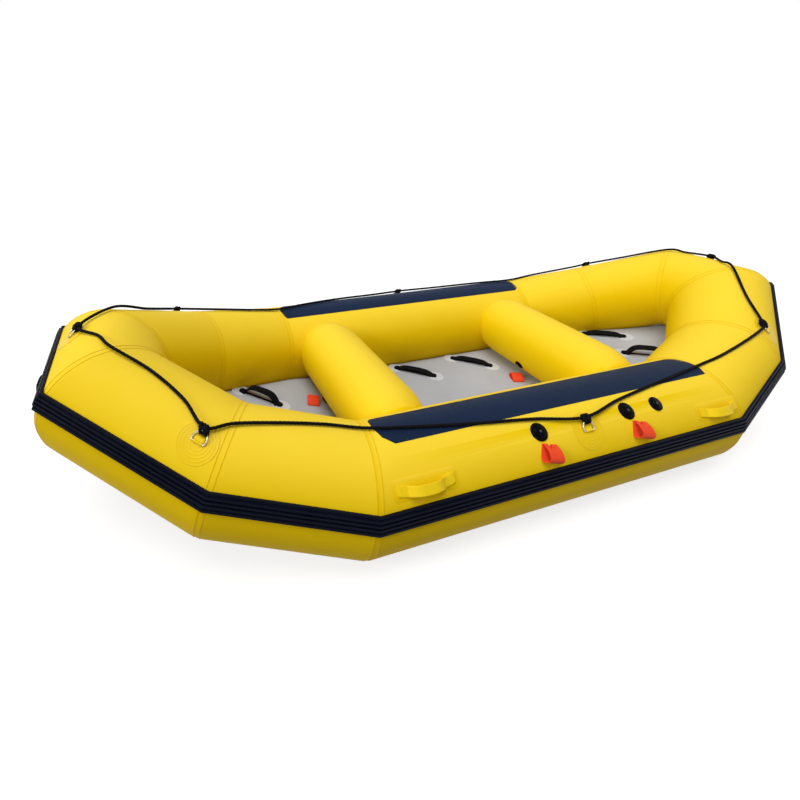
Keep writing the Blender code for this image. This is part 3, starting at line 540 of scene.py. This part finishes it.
def pierce(piece, *valves):
    # Round holes for the valves' barrels
    for valve in valves:
        radius = valveLook["reliefBarrel" if valve == "relief_valve" else "barrel"]
        drill = start("cylinder", "drill", vertices=48, radius=radius, depth=0.08)
        carve(piece, place(drill, valveSpots[valve]), "MANIFOLD")


# Hull: one cylinder for each tube, cut at its mitres, joined and softened along the mitre lines
def makeHull():
    tubes = []
    for k in range(count):
        a, b = corners[k], corners[(k + 1) % count]
        n, u = frames[k][1:]
        # Both ends of a tube carry the same angles, so the neighbours' points meet in the mitre
        tube = start("cylinder", "tube", vertices=hull["sides"], radius=hull["skin"],
                     depth=(b - a).length + hull["spare"], end_fill_type="NOTHING")
        place(tube, moved(*(a + b) / 2) @ facing(n, u, n.cross(u)))
        cut(tube, b, mitres[(k + 1) % count])
        cut(tube, a, -mitres[k])
        tubes.append(tube)
    whole = joined(tubes, "wholeHull")
    edit(whole)
    mend(1e-4)
    leave()
    for k in range(count):
        edit(whole, lambda p: abs((p - corners[k]).dot(mitres[k])) < 1e-4
             and (p - corners[k]).length < hull["mitreReach"])
        bpy.ops.mesh.bevel(offset=hull["creaseWidth"], offset_type="OFFSET", segments=hull["creaseSteps"],
                           affect="EDGES")
        leave()
    return whole


def tubeAt(p):
    # The hull's part that a point belongs to
    for node, side, first, last in (("port_side_tube", -1, 11, 0), ("starboard_side_tube", 1, 5, 6)):
        past, short = (p - corners[first]).dot(mitres[first]), (p - corners[last]).dot(mitres[last])
        if p.y * side > 0 and past > -1e-5 and short < 1e-5:
            return node
    return "bow_tube" if p.x < 0 else "stern_tube"


def makeTubes():
    whole = makeHull()
    for k in range(count):
        edges = []
        for side in (-1, 1):
            edge = duplicate(whole, "seamTape" + str(k))
            edit(edge, lambda p: (p - corners[k]).length > tapeLook["near"])
            bpy.ops.mesh.delete(type="VERT")
            leave()
            for reach in (-1, 1):
                shift = side * tapeLook["spacing"] / 2 + reach * tapeLook["width"] / 2
                cut(edge, corners[k] + mitres[k] * shift, mitres[k] * reach)
            modify(edge, "SOLIDIFY", thickness=tapeLook["thickness"], offset=1)
            edges.append(edge)
        # Painted shade: the strips are coloured darker to stand in for the shade along the tape edges
        finished(joined(edges, "seamTape" + str(k)), tapeFabric, slot="hull_fabric", angle=30)
    for name, node in (("portSideTube", "port_side_tube"), ("starboardSideTube", "starboard_side_tube"),
                       ("bowTube", "bow_tube"), ("sternTube", "stern_tube")):
        tube = duplicate(whole, name)
        mesh = bmesh.new()
        mesh.from_mesh(tube.data)
        others = [f for f in mesh.faces if tubeAt(f.calc_center_median()) != node]
        bmesh.ops.delete(mesh, geom=others, context="FACES")
        mesh.to_mesh(tube.data)
        mesh.free()
        modify(tube, "SOLIDIFY", thickness=hull["wall"], offset=-1)
        if node == "port_side_tube":
            pierce(tube, "bow_valve", "stern_valve", "relief_valve")
        finished(tube, hullFabric, stands=(node,), slot="hull_fabric", angle=60)
    bpy.data.objects.remove(whole)


tapeLook = {"spacing": 0.021, "width": 0.0028, "thickness": 0.0012, "near": 0.42}
makeTubes()
print("hull made")


# Wear pads on the side tubes
padLook = {"bow": 0.795, "starboardBow": 0.815, "stern": 0.83, "out": 0.07, "in": 0.09, "round": 0.045,
           "thickness": 0.0018}


def makePad(name, side, node):
    bow, stern = (padLook["bow"], -padLook["stern"]) if side < 0 else (-padLook["starboardBow"], padLook["stern"])
    step = padLook["round"] if bow > 0 else -padLook["round"]
    out, into = padLook["out"], padLook["in"]
    outline = [(-out, stern + step / 3), (-out, bow - step), (-out / 2, bow - step / 4), (out / 4, bow),
               (into * 0.8, bow - step / 6), (into, bow - step / 2), (into, stern + step),
               (into * 0.8, stern + step / 3), (out / 4, stern), (-out / 2, stern)]
    # An outline runs counter-clockwise seen from outside
    piece = skinPatch(name, sidePlace(0, side), 90, outline[::side], padLook["thickness"], corners[11].x)
    finished(piece, padFabric, stands=(node,), slot="pad_fabric")


makePad("portWearPad", -1, "port_wear_pad")
makePad("starboardWearPad", 1, "starboard_wear_pad")
print("pads made")


# Solids that stay as they are take only a material
def dress(ending, material):
    for node, solid in nodes.items():
        if node.endswith(ending):
            for holder in solid.material_slots:
                holder.material = material


dress("rub_strake", strakeSkin)
dress("_baffle", hullFabric)
dress(("_plunger", "_disc"), plastic)
dress("relief_valve_spring", steel)


# Floor: a slab with round edges that just clears the tubes, turned up towards both ends
floorLook = {"top": 0.123, "thickness": 0.1, "slope": 0.15, "flat": 0.6205, "end": 1.68, "columns": 64,
             "gap": 0.0006}


def floorRise(x):
    return max(abs(x) - floorLook["flat"], 0) * floorLook["slope"]


def reachToHull(point):
    best = 9
    for k in range(count):
        a, b = corners[k], corners[(k + 1) % count]
        share = min(max((point - a).dot(b - a) / (b - a).length_squared, 0), 1)
        best = min(best, (point - a.lerp(b, share)).length)
    return best


def floorHalf(x):
    # Half width whose round edge still clears the tubes, rounded off over the last stretch
    edge = floorLook["thickness"] / 2
    low, high, x = 0, 0.5853, math.copysign(min(abs(x), floorLook["end"] - edge), x)
    height = floorLook["top"] - edge + floorRise(x)
    while high - low > 1e-4:
        middle = (low + high) / 2
        clear = reachToHull(Vector((x, middle, height))) > hull["radius"] + edge + floorLook["gap"]
        low, high = (middle, high) if clear else (low, middle)
    return low + edge


def makeFloor():
    columns, length = floorLook["columns"], floorLook["end"]
    slab = start("grid", "floorDeck", x_subdivisions=columns, y_subdivisions=2, size=2)
    edit(slab)
    stretch(length, 1)
    leave()
    for i in range(columns + 1):
        x = -length + 2 * length * i / columns
        edit(slab, lambda p: abs(p.x - x) < length / columns / 4)
        stretch(1, floorHalf(x))
        bpy.ops.transform.translate(value=(0, 0, floorLook["top"] + floorRise(x)))
        leave()
    edit(slab)
    extrude(-floorLook["thickness"])
    mend(1e-6)
    leave()
    modify(slab, "BEVEL", width=floorLook["thickness"] / 2 - 0.002, segments=8, limit_method="ANGLE",
           angle_limit=math.radians(60))
    pierce(slab, "floor_valve")
    finished(slab, deckFabric, stands=("inflatable_floor",), slot="floor_fabric", angle=60)


def makeSeat(name, x):
    # A drum with shouldered ends, hollowed where it presses on the side tubes
    radius = seatLook["radius"]
    profile = [(radius * r, -end) for r, end in seatLook["ends"]]
    profile += [(radius * r, end) for r, end in seatLook["ends"][::-1]]
    piece = lathe(name + "Seat", profile, seatLook["sides"])
    place(piece, moved(x, 0, seatLook["height"]) @ turned(-90, "X"))
    for side in (-1, 1):
        tube = start("cylinder", "pressedTube", vertices=256, radius=hull["skin"] + seatLook["press"], depth=2)
        carve(piece, place(tube, moved(x, side * -corners[0].y, corners[0].z) @ turned(90, "Y")))
    pierce(piece, name + "_seat_valve")
    finished(piece, hullFabric, stands=(name + "_seat",), slot="hull_fabric", angle=35)


makeFloor()
makeSeat("bow", -seatLook["x"])
makeSeat("stern", seatLook["x"])
print("floor and seats made")


# Rings, their patches and keepers: places are corners and degrees round the tube, as part.py has them
rings = {"bow": (2.6, 39.5), "bow_port": (1.145, 47), "port": (-0.5236, 45), "stern_port": (-2.165, 45),
         "stern": (-3.5, 45), "stern_starboard": (7.165, 45), "starboard": (5.5236, 45),
         "bow_starboard": (3.855, 47)}
ringLook = {"width": 0.05, "height": 0.038, "wire": 0.003, "corner": 0.006, "lift": 11, "bar": 0.00585,
            "patch": 0.07, "patchThickness": 0.0013, "keeper": 0.034, "tail": 0.022, "keeperThickness": 0.0014,
            "keeperGap": 0.0002}


def lineThrough(name, points, dimensions="3D", cyclic=False):
    data = bpy.data.curves.new(name, "CURVE")
    data.dimensions = dimensions
    line = data.splines.new("POLY")
    line.points.add(len(points) - 1)
    for spot, p in zip(line.points, points):
        spot.co = (*p, 1)
    line.use_cyclic_u = cyclic
    return linked(name, data)


def asMesh(piece):
    only(piece)
    bpy.ops.object.convert(target="MESH")
    return bpy.context.object


def bent(name, points, radius, cyclic=False):
    # A round bar or rope along a line of points, as a mesh
    piece = lineThrough(name, points, "3D", cyclic)
    piece.data.bevel_depth, piece.data.bevel_resolution, piece.data.use_fill_caps = radius, 4, not cyclic
    return asMesh(piece)


def arc(centre, radius, first, last, steps):
    angles = [math.radians(first + (last - first) * i / steps) for i in range(steps + 1)]
    return [(centre[0] + radius * math.cos(angle), centre[1] + radius * math.sin(angle)) for angle in angles]


def strap(name, line, width, thickness, columns=6, shifts=()):
    # A flat strap with a row at each point of its line, folded row by row to (run, height), shifted sideways
    steps = [0]
    for a, b in zip(line, line[1:]):
        steps.append(steps[-1] + math.dist(a, b))
    rows = len(line) - 1
    piece = start("grid", name, x_subdivisions=columns, y_subdivisions=rows, size=1, location=(0, 0, 1))
    place(piece, Matrix())
    edit(piece)
    stretch(width, 1, 1, (0, 0, 1))
    leave()
    even, flat = [(i / rows - 0.5, 1) for i in range(rows + 1)], [(s, 2) for s in steps]
    nearest = min(b - a for a, b in zip(steps, steps[1:])) / 3
    still = [0] * len(line)
    for before, after, aside, near in ((even, flat, still, 0.3 / rows), (flat, line, shifts or still, nearest)):
        for (y, z), (nextY, nextZ), shift in zip(before, after, aside):
            edit(piece, lambda p: abs(p.y - y) < near and abs(p.z - z) < 0.5)
            bpy.ops.transform.translate(value=(shift, nextY - y, nextZ - z))
            leave()
        if after is flat:
            flatCoordinates(piece, Matrix())
    modify(piece, "SOLIDIFY", thickness=thickness, offset=0, use_even_offset=True)
    modify(piece, "BEVEL", width=thickness / 4, segments=2, limit_method="ANGLE", angle_limit=math.radians(60))
    return piece


def makeRing(name):
    spot = hullSpot(*rings[name])
    half, corner = ringLook["width"] / 2, ringLook["corner"]
    straight = ringLook["height"] - half
    outline = arc((corner, half - corner), corner, 180, 90, 4) + arc((straight, 0), half, 90, -90, 28)
    outline += arc((corner, corner - half), corner, 270, 180, 4)
    lift = moved(0, 0, ringLook["bar"]) @ turned(-ringLook["lift"], "Y")
    piece = bent(name + "Ring", [spot @ lift @ Vector((x, y, 0)) for x, y in outline], ringLook["wire"], True)
    finished(piece, steel, name + "_ring", (name + "_d_ring",), "steel", 60)

    disc = skinPatch(name + "RingPatch", *rings[name], arc((0, 0), ringLook["patch"], 0, 345, 23),
                     ringLook["patchThickness"], ringLook["patch"] + 0.01)
    finished(disc, patchFabric, stands=(name + "_ring_patch",), slot="hull_fabric")
    # The keeper lies on the patch, goes round the ring's bar and comes back over itself
    thick, gap, tail = ringLook["keeperThickness"], ringLook["keeperGap"], -ringLook["tail"]
    around = ringLook["wire"] + thick / 2 + gap
    low = ringLook["patchThickness"] + thick / 2 + gap * 1.5
    high = low + thick + gap / 2
    line = [(tail, high), (tail * 0.7, high), (-around * 1.3, high + 0.0008)]
    line += arc((0, ringLook["bar"]), around, 125, -90, 9) + [(-around, low), (tail * 0.7, low), (tail, low)]
    keeper = strap(name + "RingKeeper", line, ringLook["keeper"], thick)
    place(keeper, spot @ turned(90, "Z"))
    finished(keeper, yellowStrap, slot="hull_fabric")


for name in rings:
    makeRing(name)
print("rings made")


# Grab line: one closed rope through a hitch on every ring, in halves, each running from its own ring's knot
ropeLook = {"radius": 0.0065, "rise": 0.0468, "hitch": 0.0172, "pad": 0.002, "clear": 0.0012, "rest": 0.0002,
            "step": 0.0058, "lay": 0.046, "lobe": 0.09, "give": 0.3}
knotLook = {"turn": 0.0052, "turns": ((-0.0105, 0.003), (0, -0.002), (0.0105, 0.003)), "band": (0.0165, 0.0075),
            "bandShift": 0.004}
portRoute = ["bow", (2.3, 70), (2, 80.5), (1.66, 79.7), (1.35, 71), "bow_port", (1, 73.5), (0.7, 82),
             (0.35, 89.5), (0, 92.8), (-0.12, 82.5), (-0.25, 73.5), (-0.395, 65.6), "port", (-0.655, 65.6),
             (-0.83, 74.5), (-1, 83), (-1.4, 72.5), (-2, 62), "stern_port", (-2.5, 70), (-3, 83),
             (-3.25, 73), "stern"]


def hitchPoint(name):
    where, degrees = rings[name]
    return hullPoint(where, degrees + math.degrees(ropeLook["rise"] / hull["radius"]), ropeLook["hitch"])


def linePoint(stop):
    if isinstance(stop, str):
        return hitchPoint(stop)
    where, degrees = stop
    ridge = ropeLook["radius"] / 2 if where == round(where) else 0
    return hullPoint(where, degrees, ropeLook["pad"] + ropeLook["radius"] + ropeLook["clear"] + ridge)


def offSkin(point):
    # Pushed out to where the rope's underside rests on the pad or the skin
    best = None
    beyond = [(point - corner).dot(mitre) for corner, mitre in zip(corners, mitres)]
    for k in range(count):
        if beyond[k] >= 0 >= beyond[(k + 1) % count]:
            foot = corners[k] + along[k] * (point - corners[k]).dot(along[k])
            if best is None or (point - foot).length < (point - best).length:
                best = foot
    reach = hull["radius"] + ropeLook["pad"] + ropeLook["radius"] + ropeLook["rest"]
    away = point - best
    return point if away.length > reach else best + away.normalized() * reach


def ropeCentres():
    # Even samples of the smooth closed curve through the stops, and the sample at each ring
    starboard = [stop.replace("port", "starboard") if isinstance(stop, str) else (5 - stop[0], stop[1])
                 for stop in portRoute[-2:1:-1]]
    stops = portRoute + starboard
    points = [linePoint(stop) for stop in stops]
    samples, hitches = [], []
    for i, stop in enumerate(stops):
        a, b, c, d = (points[(i + j) % len(points)] for j in (-1, 0, 1, 2))
        if isinstance(stop, str):
            hitches.append((stop, len(samples)))
        steps = max(2, round((c - b).length / ropeLook["step"]))
        for j in range(steps):
            s = j / steps
            samples.append(((2 * b) + (c - a) * s + (2 * a - 5 * b + 4 * c - d) * s ** 2
                            + (3 * b - a - 3 * c + d) * s ** 3) / 2)
    samples = [offSkin(p) for p in samples]
    for _ in range(3):
        samples = [offSkin((samples[i - 1] + 2 * p + samples[(i + 1) % len(samples)]) / 4)
                   for i, p in enumerate(samples)]
    return samples, hitches


def ropeProfile():
    # Section of a laid rope with three strands
    points = []
    for i in range(18):
        angle = math.tau * i / 18
        radius = ropeLook["radius"] * (1 - ropeLook["lobe"] + ropeLook["lobe"] * math.cos(3 * angle))
        points.append((radius * math.cos(angle), radius * math.sin(angle), 0))
    return lineThrough("ropeSection", points, "2D", True)


def makeHalfRope(name, points, lengths, ring, section):
    # From its knot to the middle of the span, twisted by the length run so far
    piece = lineThrough(name, points)
    data = piece.data
    data.twist_mode, data.bevel_mode, data.bevel_object, data.use_fill_caps = "Z_UP", "OBJECT", section, True
    for spot, run in zip(data.splines[0].points, lengths):
        spot.tilt = math.tau * run / ropeLook["lay"]
    piece = asMesh(piece)
    edit(piece)
    mend(1e-5)
    leave()
    skinned(piece, ropeSkin, 60)
    near = next((p for p in points if (p - points[0]).length > ropeLook["give"]), points[-1])
    ring + "_ring"
    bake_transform(piece)
    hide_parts("grab_line")
    length = sum((b - a).length for a, b in zip(points, points[1:]))


def makeKnot(name):
    # Three turns round the line and the top of the ring, and one turn across them
    spot = hullSpot(*rings[name])
    lift = math.radians(ringLook["lift"])
    wire = Vector((ringLook["height"] * math.cos(lift), 0, ringLook["bar"] + ringLook["height"] * math.sin(lift)))
    line = spot.inverted() @ hitchPoint(name)
    onward = (line - wire).normalized()
    aside = Vector((-onward.z, 0, onward.x))
    turn = knotLook["turn"]
    ends = ((line, ropeLook["radius"] + turn / 2, -90), (wire, ringLook["wire"] + turn, 90))
    pieces = []
    for shift, lean in knotLook["turns"]:
        points = []
        for centre, radius, first in ends:
            for x, z in arc((0, 0), radius, first, first + 180, 8):
                points.append(spot @ (centre + onward * x + aside * z + Vector((0, shift + lean * z / radius, 0))))
        pieces.append(bent(name + "Knot", points, turn, True))
    middle = (line + wire) / 2 + aside * knotLook["bandShift"]
    wide, deep = knotLook["band"]
    across = [spot @ (middle + Vector((0, y * wide, 0)) + aside * z * deep) for y, z in arc((0, 0), 1, 0, 345, 23)]
    pieces.append(bent(name + "Knot", across, turn * 0.9, True))
    knot = joined(pieces, name + "Knot")
    return finished(knot, ropeSkin, name + "_ring", ("grab_line",), "rope", 60)


def makeRope():
    samples, hitches = ropeCentres()
    runs = [0]
    for i in range(len(samples)):
        runs.append(runs[-1] + (samples[(i + 1) % len(samples)] - samples[i]).length)
    section = ropeProfile()
    knots = {name: makeKnot(name) for name, _ in hitches}
    total = len(samples)
    for i, (name, first) in enumerate(hitches):
        other, last = hitches[(i + 1) % len(hitches)]
        last += total if last <= first else 0
        middle = (first + last) // 2
        span = [j % total for j in range(first, last + 1)]
        half = middle - first
        for ring, part, tag in ((name, span[:half + 1], "Onward"), (other, span[half:][::-1], "Back")):
            makeHalfRope(ring + "Rope" + tag, [samples[j] for j in part], [runs[j] for j in part], ring, section)
    bpy.data.objects.remove(section)
    print("rope length:", round(runs[-1], 3), "m in", 2 * len(hitches), "halves")


makeRope()


# Carry handles, each on its patch
carryLook = {"bow": 0.166, "stern": 0.118, "angle": 36, "endAngle": -9, "length": 0.22, "foot": 0.04,
             "rise": 0.024, "sag": 0.014, "width": 0.036, "thickness": 0.0048, "patchLength": 0.25,
             "patchWidth": 0.07, "patchThickness": 0.0012, "lift": 0.0013}


def archLine(length, foot, rise, thickness, steps=16):
    half = length / 2
    crown = half - foot
    base = thickness / 2 + 0.0003
    inner = [(-crown + 2 * crown * i / steps) for i in range(steps + 1)]
    return ([(-half, base), (-half + foot / 2, base)] + [(y, base + rise * (1 - (y / crown) ** 4)) for y in inner]
            + [(half - foot / 2, base), (half, base)])


def makeCarryHandle(name, where, degrees, patchSkin, strapSkin, slot):
    longHalf, wideHalf = carryLook["patchLength"] / 2, carryLook["patchWidth"] / 2
    corner = wideHalf / 2
    outline = []
    for sx, sy, first in ((1, 1, 90), (1, -1, 0), (-1, -1, -90), (-1, 1, -180)):
        outline += arc((sx * (wideHalf - corner), sy * (longHalf - corner)), corner, first, first - 90, 5)
    base = skinPatch(name + "HandlePatch", where, degrees, outline[::-1], carryLook["patchThickness"], 0.16)
    finished(base, patchSkin, slot=slot)
    length, thickness = carryLook["length"], carryLook["thickness"]
    line = archLine(length, carryLook["foot"], carryLook["rise"], thickness)
    sag = [-carryLook["sag"] * (1 - (2 * y / length) ** 2) for y, _ in line]
    piece = strap(name + "Handle", line, carryLook["width"], thickness, 6, sag)
    place(piece, hullSpot(where, degrees) @ moved(0, 0, carryLook["lift"]))
    finished(piece, strapSkin, stands=(name + "_carry_handle",), slot=slot)


for side, tag in ((-1, "port"), (1, "starboard")):
    for name, x in (("bow_", corners[0].x + carryLook["bow"]), ("stern_", corners[11].x - carryLook["stern"])):
        makeCarryHandle(name + tag, sidePlace(x, side), carryLook["angle"], hullFabric, yellowStrap, "hull_fabric")
for name, where in (("bow", 2.5), ("stern", 8.5)):
    makeCarryHandle(name, where, carryLook["endAngle"], blackWebbing, blackWebbing, "webbing")


# Handles on the floor: a strap with pinched feet over a base strip, with glued tabs and knobs, these in millimetres
gripLook = {"length": 0.24, "foot": 0.03, "width": 0.048, "thickness": 0.0075, "pinch": 0.55, "turn": -132,
            "base": 0.016, "baseThickness": 0.0014, "tab": 0.046, "tabThickness": 0.0008,
            "knob": [(0, 11.5), (10, 11), (16, 8.8), (18, 5), (18, 0.6), (0, 0.6)],
            "places": {"bow": (-1.034, 0.168, 0.04), "middle_bow": (-0.088, 0.25, 0.014),
                       "middle_stern": (0.303, 0.25, 0.014), "stern_port": (1.238, -0.124, 0.044),
                       "stern_starboard": (1.235, 0.155, 0.014)}}


def floorSpot(x, y, turn):
    tilt = math.degrees(math.atan(floorLook["slope"])) * (abs(x) > floorLook["flat"]) * (-1 if x > 0 else 1)
    return moved(x, y, floorLook["top"] + floorRise(x)) @ turned(tilt, "Y") @ turned(turn, "Z")


def makeFloorHandle(name, x, y, rise):
    half, foot = gripLook["length"] / 2, gripLook["foot"]
    spot = floorSpot(x, y, gripLook["turn"])
    line = archLine(2 * half, foot, rise, gripLook["thickness"])
    piece = strap(name + "FloorHandle", line, gripLook["width"], gripLook["thickness"])
    edit(piece, lambda p: abs(p.y) > half - foot * 0.9)
    stretch(gripLook["pinch"], 1)
    leave()
    base = strap("base", [(y, 0.001) for y in (-half, 0, half)], gripLook["base"], gripLook["baseThickness"])
    parts = [piece, base]
    for end in (-1, 1):
        knob = lathe("knob", millimetres(gripLook["knob"]), 32)
        place(knob, moved(0, end * (half - foot / 2), 0))
        flatCoordinates(knob, Matrix())
        parts.append(knob)
    piece = place(joined(parts, name + "FloorHandle"), spot)
    finished(piece, blackWebbing, stands=(name + "_floor_handle",), slot="webbing")
    for end in (-1, 1):
        tab = start("cylinder", name + "FloorTab", vertices=64, radius=gripLook["tab"],
                    depth=gripLook["tabThickness"])
        place(tab, spot @ moved(0, end * (half - 0.004), -0.0001))
        flatCoordinates(tab, spot)
        finished(tab, paleFabric, slot="floor_fabric")


for name, (x, y, rise) in gripLook["places"].items():
    makeFloorHandle(name, x, y, rise)


# Orange loops: a strap folded on itself and glued along its tail, its line in millimetres
loopLook = {"width": 0.06, "thickness": 0.0026, "notch": 0.024, "notchPlace": (0.002, -0.04, 0.008),
            "skew": 0.01, "turn": 75, "floorTurn": -18,
            "line": [(-33, 5), (-26, 10), (-15, 19), (0, 26.5), (13, 29.5), (23, 28.5), (29.5, 24), (32.5, 16.5),
                     (31.5, 8.5), (26.5, 3.4), (15, 1.6), (-10, 1.6), (-33, 1.6)],
            "shifts": (0.1, 0.3, 0.55, 0.8, 1, 1, 0.8, 0.2, -0.4, -0.8, -0.9, -0.5, -0.1)}


def makeLoop(name, spot, node, skew):
    # The skewed ones have a notch in the end that shows
    shifts = [-skew * s for s in loopLook["shifts"]]
    piece = strap(name, millimetres(loopLook["line"]), loopLook["width"], loopLook["thickness"], 8, shifts)
    if skew:
        cutter = start("cylinder", "notch", vertices=3, radius=loopLook["notch"], depth=0.03)
        carve(piece, place(cutter, moved(*loopLook["notchPlace"])), "MANIFOLD")
    place(piece, spot)
    finished(piece, orangeStrap, stands=(node,), slot="orange_strap", angle=35)


down = turned(loopLook["turn"], "Z") @ moved(0, 0.006, 0)
for name, x in (("bow", -0.165), ("stern", 0.285)):
    makeLoop(name + "SideLoop", hullSpot(sidePlace(x, -1), 36) @ down, name + "_side_loop", loopLook["skew"])
for name, x, y in (("bow", -0.775, 0.105), ("stern", 0.425, 0.005)):
    makeLoop(name + "FloorLoop", floorSpot(x, y, loopLook["floorTurn"]), name + "_floor_loop", 0)
print("handles and loops made")


# Valves: turned bodies and domed caps with their hinges, drawn about the valve's axis
hingeLook = {"reach": 0.0305, "rise": 0.0088, "pin": 0.0015, "knuckle": 0.0034, "width": 0.011, "gap": 0.0003,
             "lug": 0.0035, "lugHalf": 0.0036, "lugHeights": (0.003, 0.0114), "armRoot": 0.021,
             "armHeights": (0.008, 0.01)}
# Radius and height in millimetres; the flow holes as radius, length, way out and height in metres
profiles = {"body": [(16, -31), (16, 6.8), (16.5, 7.3), (22, 7.3), (22.8, 6.9), (24, 5.4), (25.6, 4.7), (30, 4.5),
                     (33.3, 4.1), (34.6, 3), (35, 1.6), (35, 0.3), (20, 0.3), (20, -34), (11, -34), (11, -31),
                     (16, -31)],
            "guide": [(2.8, -22), (2.8, -19), (16, -19), (16, -22), (2.8, -22)],
            "cap": [(0, 12.8), (3, 12.8), (3.6, 12.4), (4.2, 12.1), (11, 11.9), (17, 11.2), (21.2, 10.1),
                    (23.3, 9), (24, 8), (23.7, 7.6), (14.8, 7.6), (14.8, 4.4), (14.2, 4), (0, 4)],
            "relief": [(0, 11), (4, 10.8), (9.5, 9.3), (14, 6.6), (17, 4.8), (28.5, 4.3), (29.3, 3.8), (29.5, 2.6),
                       (29.5, 0.3), (17, 0.3), (17, -16), (6.5, -16), (6.5, -13.5), (13.5, -13.5), (13.5, 0.3),
                       (11, 5), (6, 7.8), (0, 8.5)]}
flowHoles = {"guide": (0.0035, 0.02, 0.01, -0.0205), "relief": (0.00125, 0.03, 0.0084, 0.012)}


def block(name, low, high):
    piece = start("cube", name, size=1)
    middle = (Vector(low) + Vector(high)) / 2
    place(piece, moved(*middle) @ Matrix.Diagonal((*(Vector(high) - Vector(low)), 1)))
    modify(piece, "BEVEL", width=0.0006, segments=3)
    return piece


def pinAcross(name, radius, half):
    piece = start("cylinder", name, vertices=32, radius=radius, depth=2 * half)
    return place(piece, moved(0, hingeLook["reach"], hingeLook["rise"]) @ turned(90, "Y"))


def letFlow(piece, radius, depth, away, height):
    for degrees in (0, 120, 240):
        vent = start("cylinder", "vent", vertices=24, radius=radius, depth=depth)
        carve(piece, place(vent, turned(degrees, "Z") @ moved(away, 0, height)))


def seated(piece, name, body, node):
    place(piece, valveSpots[name])
    flatCoordinates(piece, valveSpots[name])
    finished(piece, plastic, body, (node,), "valve_plastic", 35)


def makeValve(name, sprung):
    parts = [lathe(name + "Body", millimetres(profiles["body"]), 96)]
    if sprung:
        guide = lathe("guide", millimetres(profiles["guide"]), 48)
        letFlow(guide, *flowHoles["guide"])
        parts.append(guide)
    half, gap, away = hingeLook["width"] / 2, hingeLook["gap"], hingeLook["reach"]
    reach = half + gap
    across, (foot, top) = hingeLook["lugHalf"], hingeLook["lugHeights"]
    for side in (-1, 1):
        low, high = sorted((side * reach, side * (reach + hingeLook["lug"])))
        parts.append(block("lug", (low, away - across, foot), (high, away + across, top)))
    parts.append(pinAcross("pin", hingeLook["pin"], reach + hingeLook["lug"]))
    seated(joined(parts, name + "Body"), name, "hull", name + "_body")

    cap = lathe(name + "Cap", millimetres(profiles["cap"]), 96)
    foot, top = hingeLook["armHeights"]
    arm = block("arm", (gap - half, hingeLook["armRoot"], foot), (half - gap, away - 0.001, top))
    knuckle = pinAcross("knuckle", hingeLook["knuckle"], half)
    seated(joined([cap, arm, knuckle], name + "Cap"), name, name + "_lid", name + "_cap")


def makeRelief():
    body = lathe("reliefBody", millimetres(profiles["relief"]), 96)
    letFlow(body, *flowHoles["relief"])
    seated(body, "relief_valve", "hull", "relief_valve_body")


def makeSpring(name):
    # Its foot stands on the guide, and its top coil sits under the button
    spot, wire, turns = valveSpots[name], springLook["wire"], springLook["turns"]
    low, high = springLook["low"] + wire, springLook["high"] - wire
    coil = arc((0, 0), springLook["radius"], 0, 360 * turns, 24 * turns)
    rise = (high - low) / (24 * turns)
    points = [spot @ Vector((x, y, low + rise * i)) for i, (x, y) in enumerate(coil)]
    piece = bent(name + "Spring", points, wire)
    skinned(piece, steel, 60)
    spot @ Vector((0, 0, low))
    spot @ Vector((0, 0, high))
    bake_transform(piece)
    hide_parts(name + "_spring")


springLook = {"low": -0.0187, "high": -0.0073, "radius": 0.0042, "wire": 0.0005, "turns": 4}
for name in ("bow_valve", "stern_valve"):
    makeValve(name, True)
    makeSpring(name)
for name in ("floor_valve", "bow_seat_valve", "stern_seat_valve"):
    makeValve(name, False)
makeRelief()
print("valves made")


# Light, sky and ground
def seenDirectly(tree):
    # 1 for rays from the camera or off something glossy
    path, seen = tree.nodes.new("ShaderNodeLightPath"), tree.nodes.new("ShaderNodeMath")
    seen.operation = "MAXIMUM"
    for i, name in enumerate(("Is Camera Ray", "Is Glossy Ray")):
        tree.links.new(path.outputs[name], seen.inputs[i])
    return seen.outputs[0]


def makeStudio():
    world = bpy.data.worlds.new("studio")
    world.use_nodes = True
    tree = world.node_tree
    tree.nodes.clear()
    mix, out = tree.nodes.new("ShaderNodeMixShader"), tree.nodes.new("ShaderNodeOutputWorld")
    tree.links.new(seenDirectly(tree), mix.inputs[0])
    for slot, strength in ((1, studio["sky"]), (2, 1)):
        sky = tree.nodes.new("ShaderNodeBackground")
        sky.inputs["Color"].default_value, sky.inputs["Strength"].default_value = (1, 1, 1, 1), strength
        tree.links.new(sky.outputs[0], mix.inputs[slot])
    tree.links.new(mix.outputs[0], out.inputs["Surface"])
    bpy.context.scene.world = world
    for name, towards, strength, spread in studio["suns"]:
        lamp = bpy.data.lights.new(name, "SUN")
        lamp.energy, lamp.angle = strength, math.radians(spread)
        linked(name, lamp).rotation_euler = Vector(towards).to_track_quat("-Z", "Y").to_euler()
    ground = start("plane", "ground", size=400, location=(0, 0, -0.0005))
    # The camera sees the ground as white paper that lets only a little shadow through
    m = Maker("groundPaint", (0.9, 0.9, 0.9), 0.95, specular=0)
    seen = Signal(m, seenDirectly(m.tree))
    m.paint(seen, studio["bounce"], studio["floor"])
    m.drive("Emission Color", m.mix(seen, (0, 0, 0), (1, 1, 1)))
    m.shader.inputs["Emission Strength"].default_value = studio["paper"]
    ground.data.materials.append(m.material)


studio = {"sky": 0.35, "bounce": (0.24, 0.24, 0.24), "floor": (0.36, 0.36, 0.36), "paper": 0.76,
          "suns": [("highSun", (0.14, 0.12, -0.9), 1.85, 45), ("frontSun", (0.92, 0.16, -0.45), 1.2, 20)]}
makeStudio()
bpy.context.scene.view_settings.view_transform = "Standard"
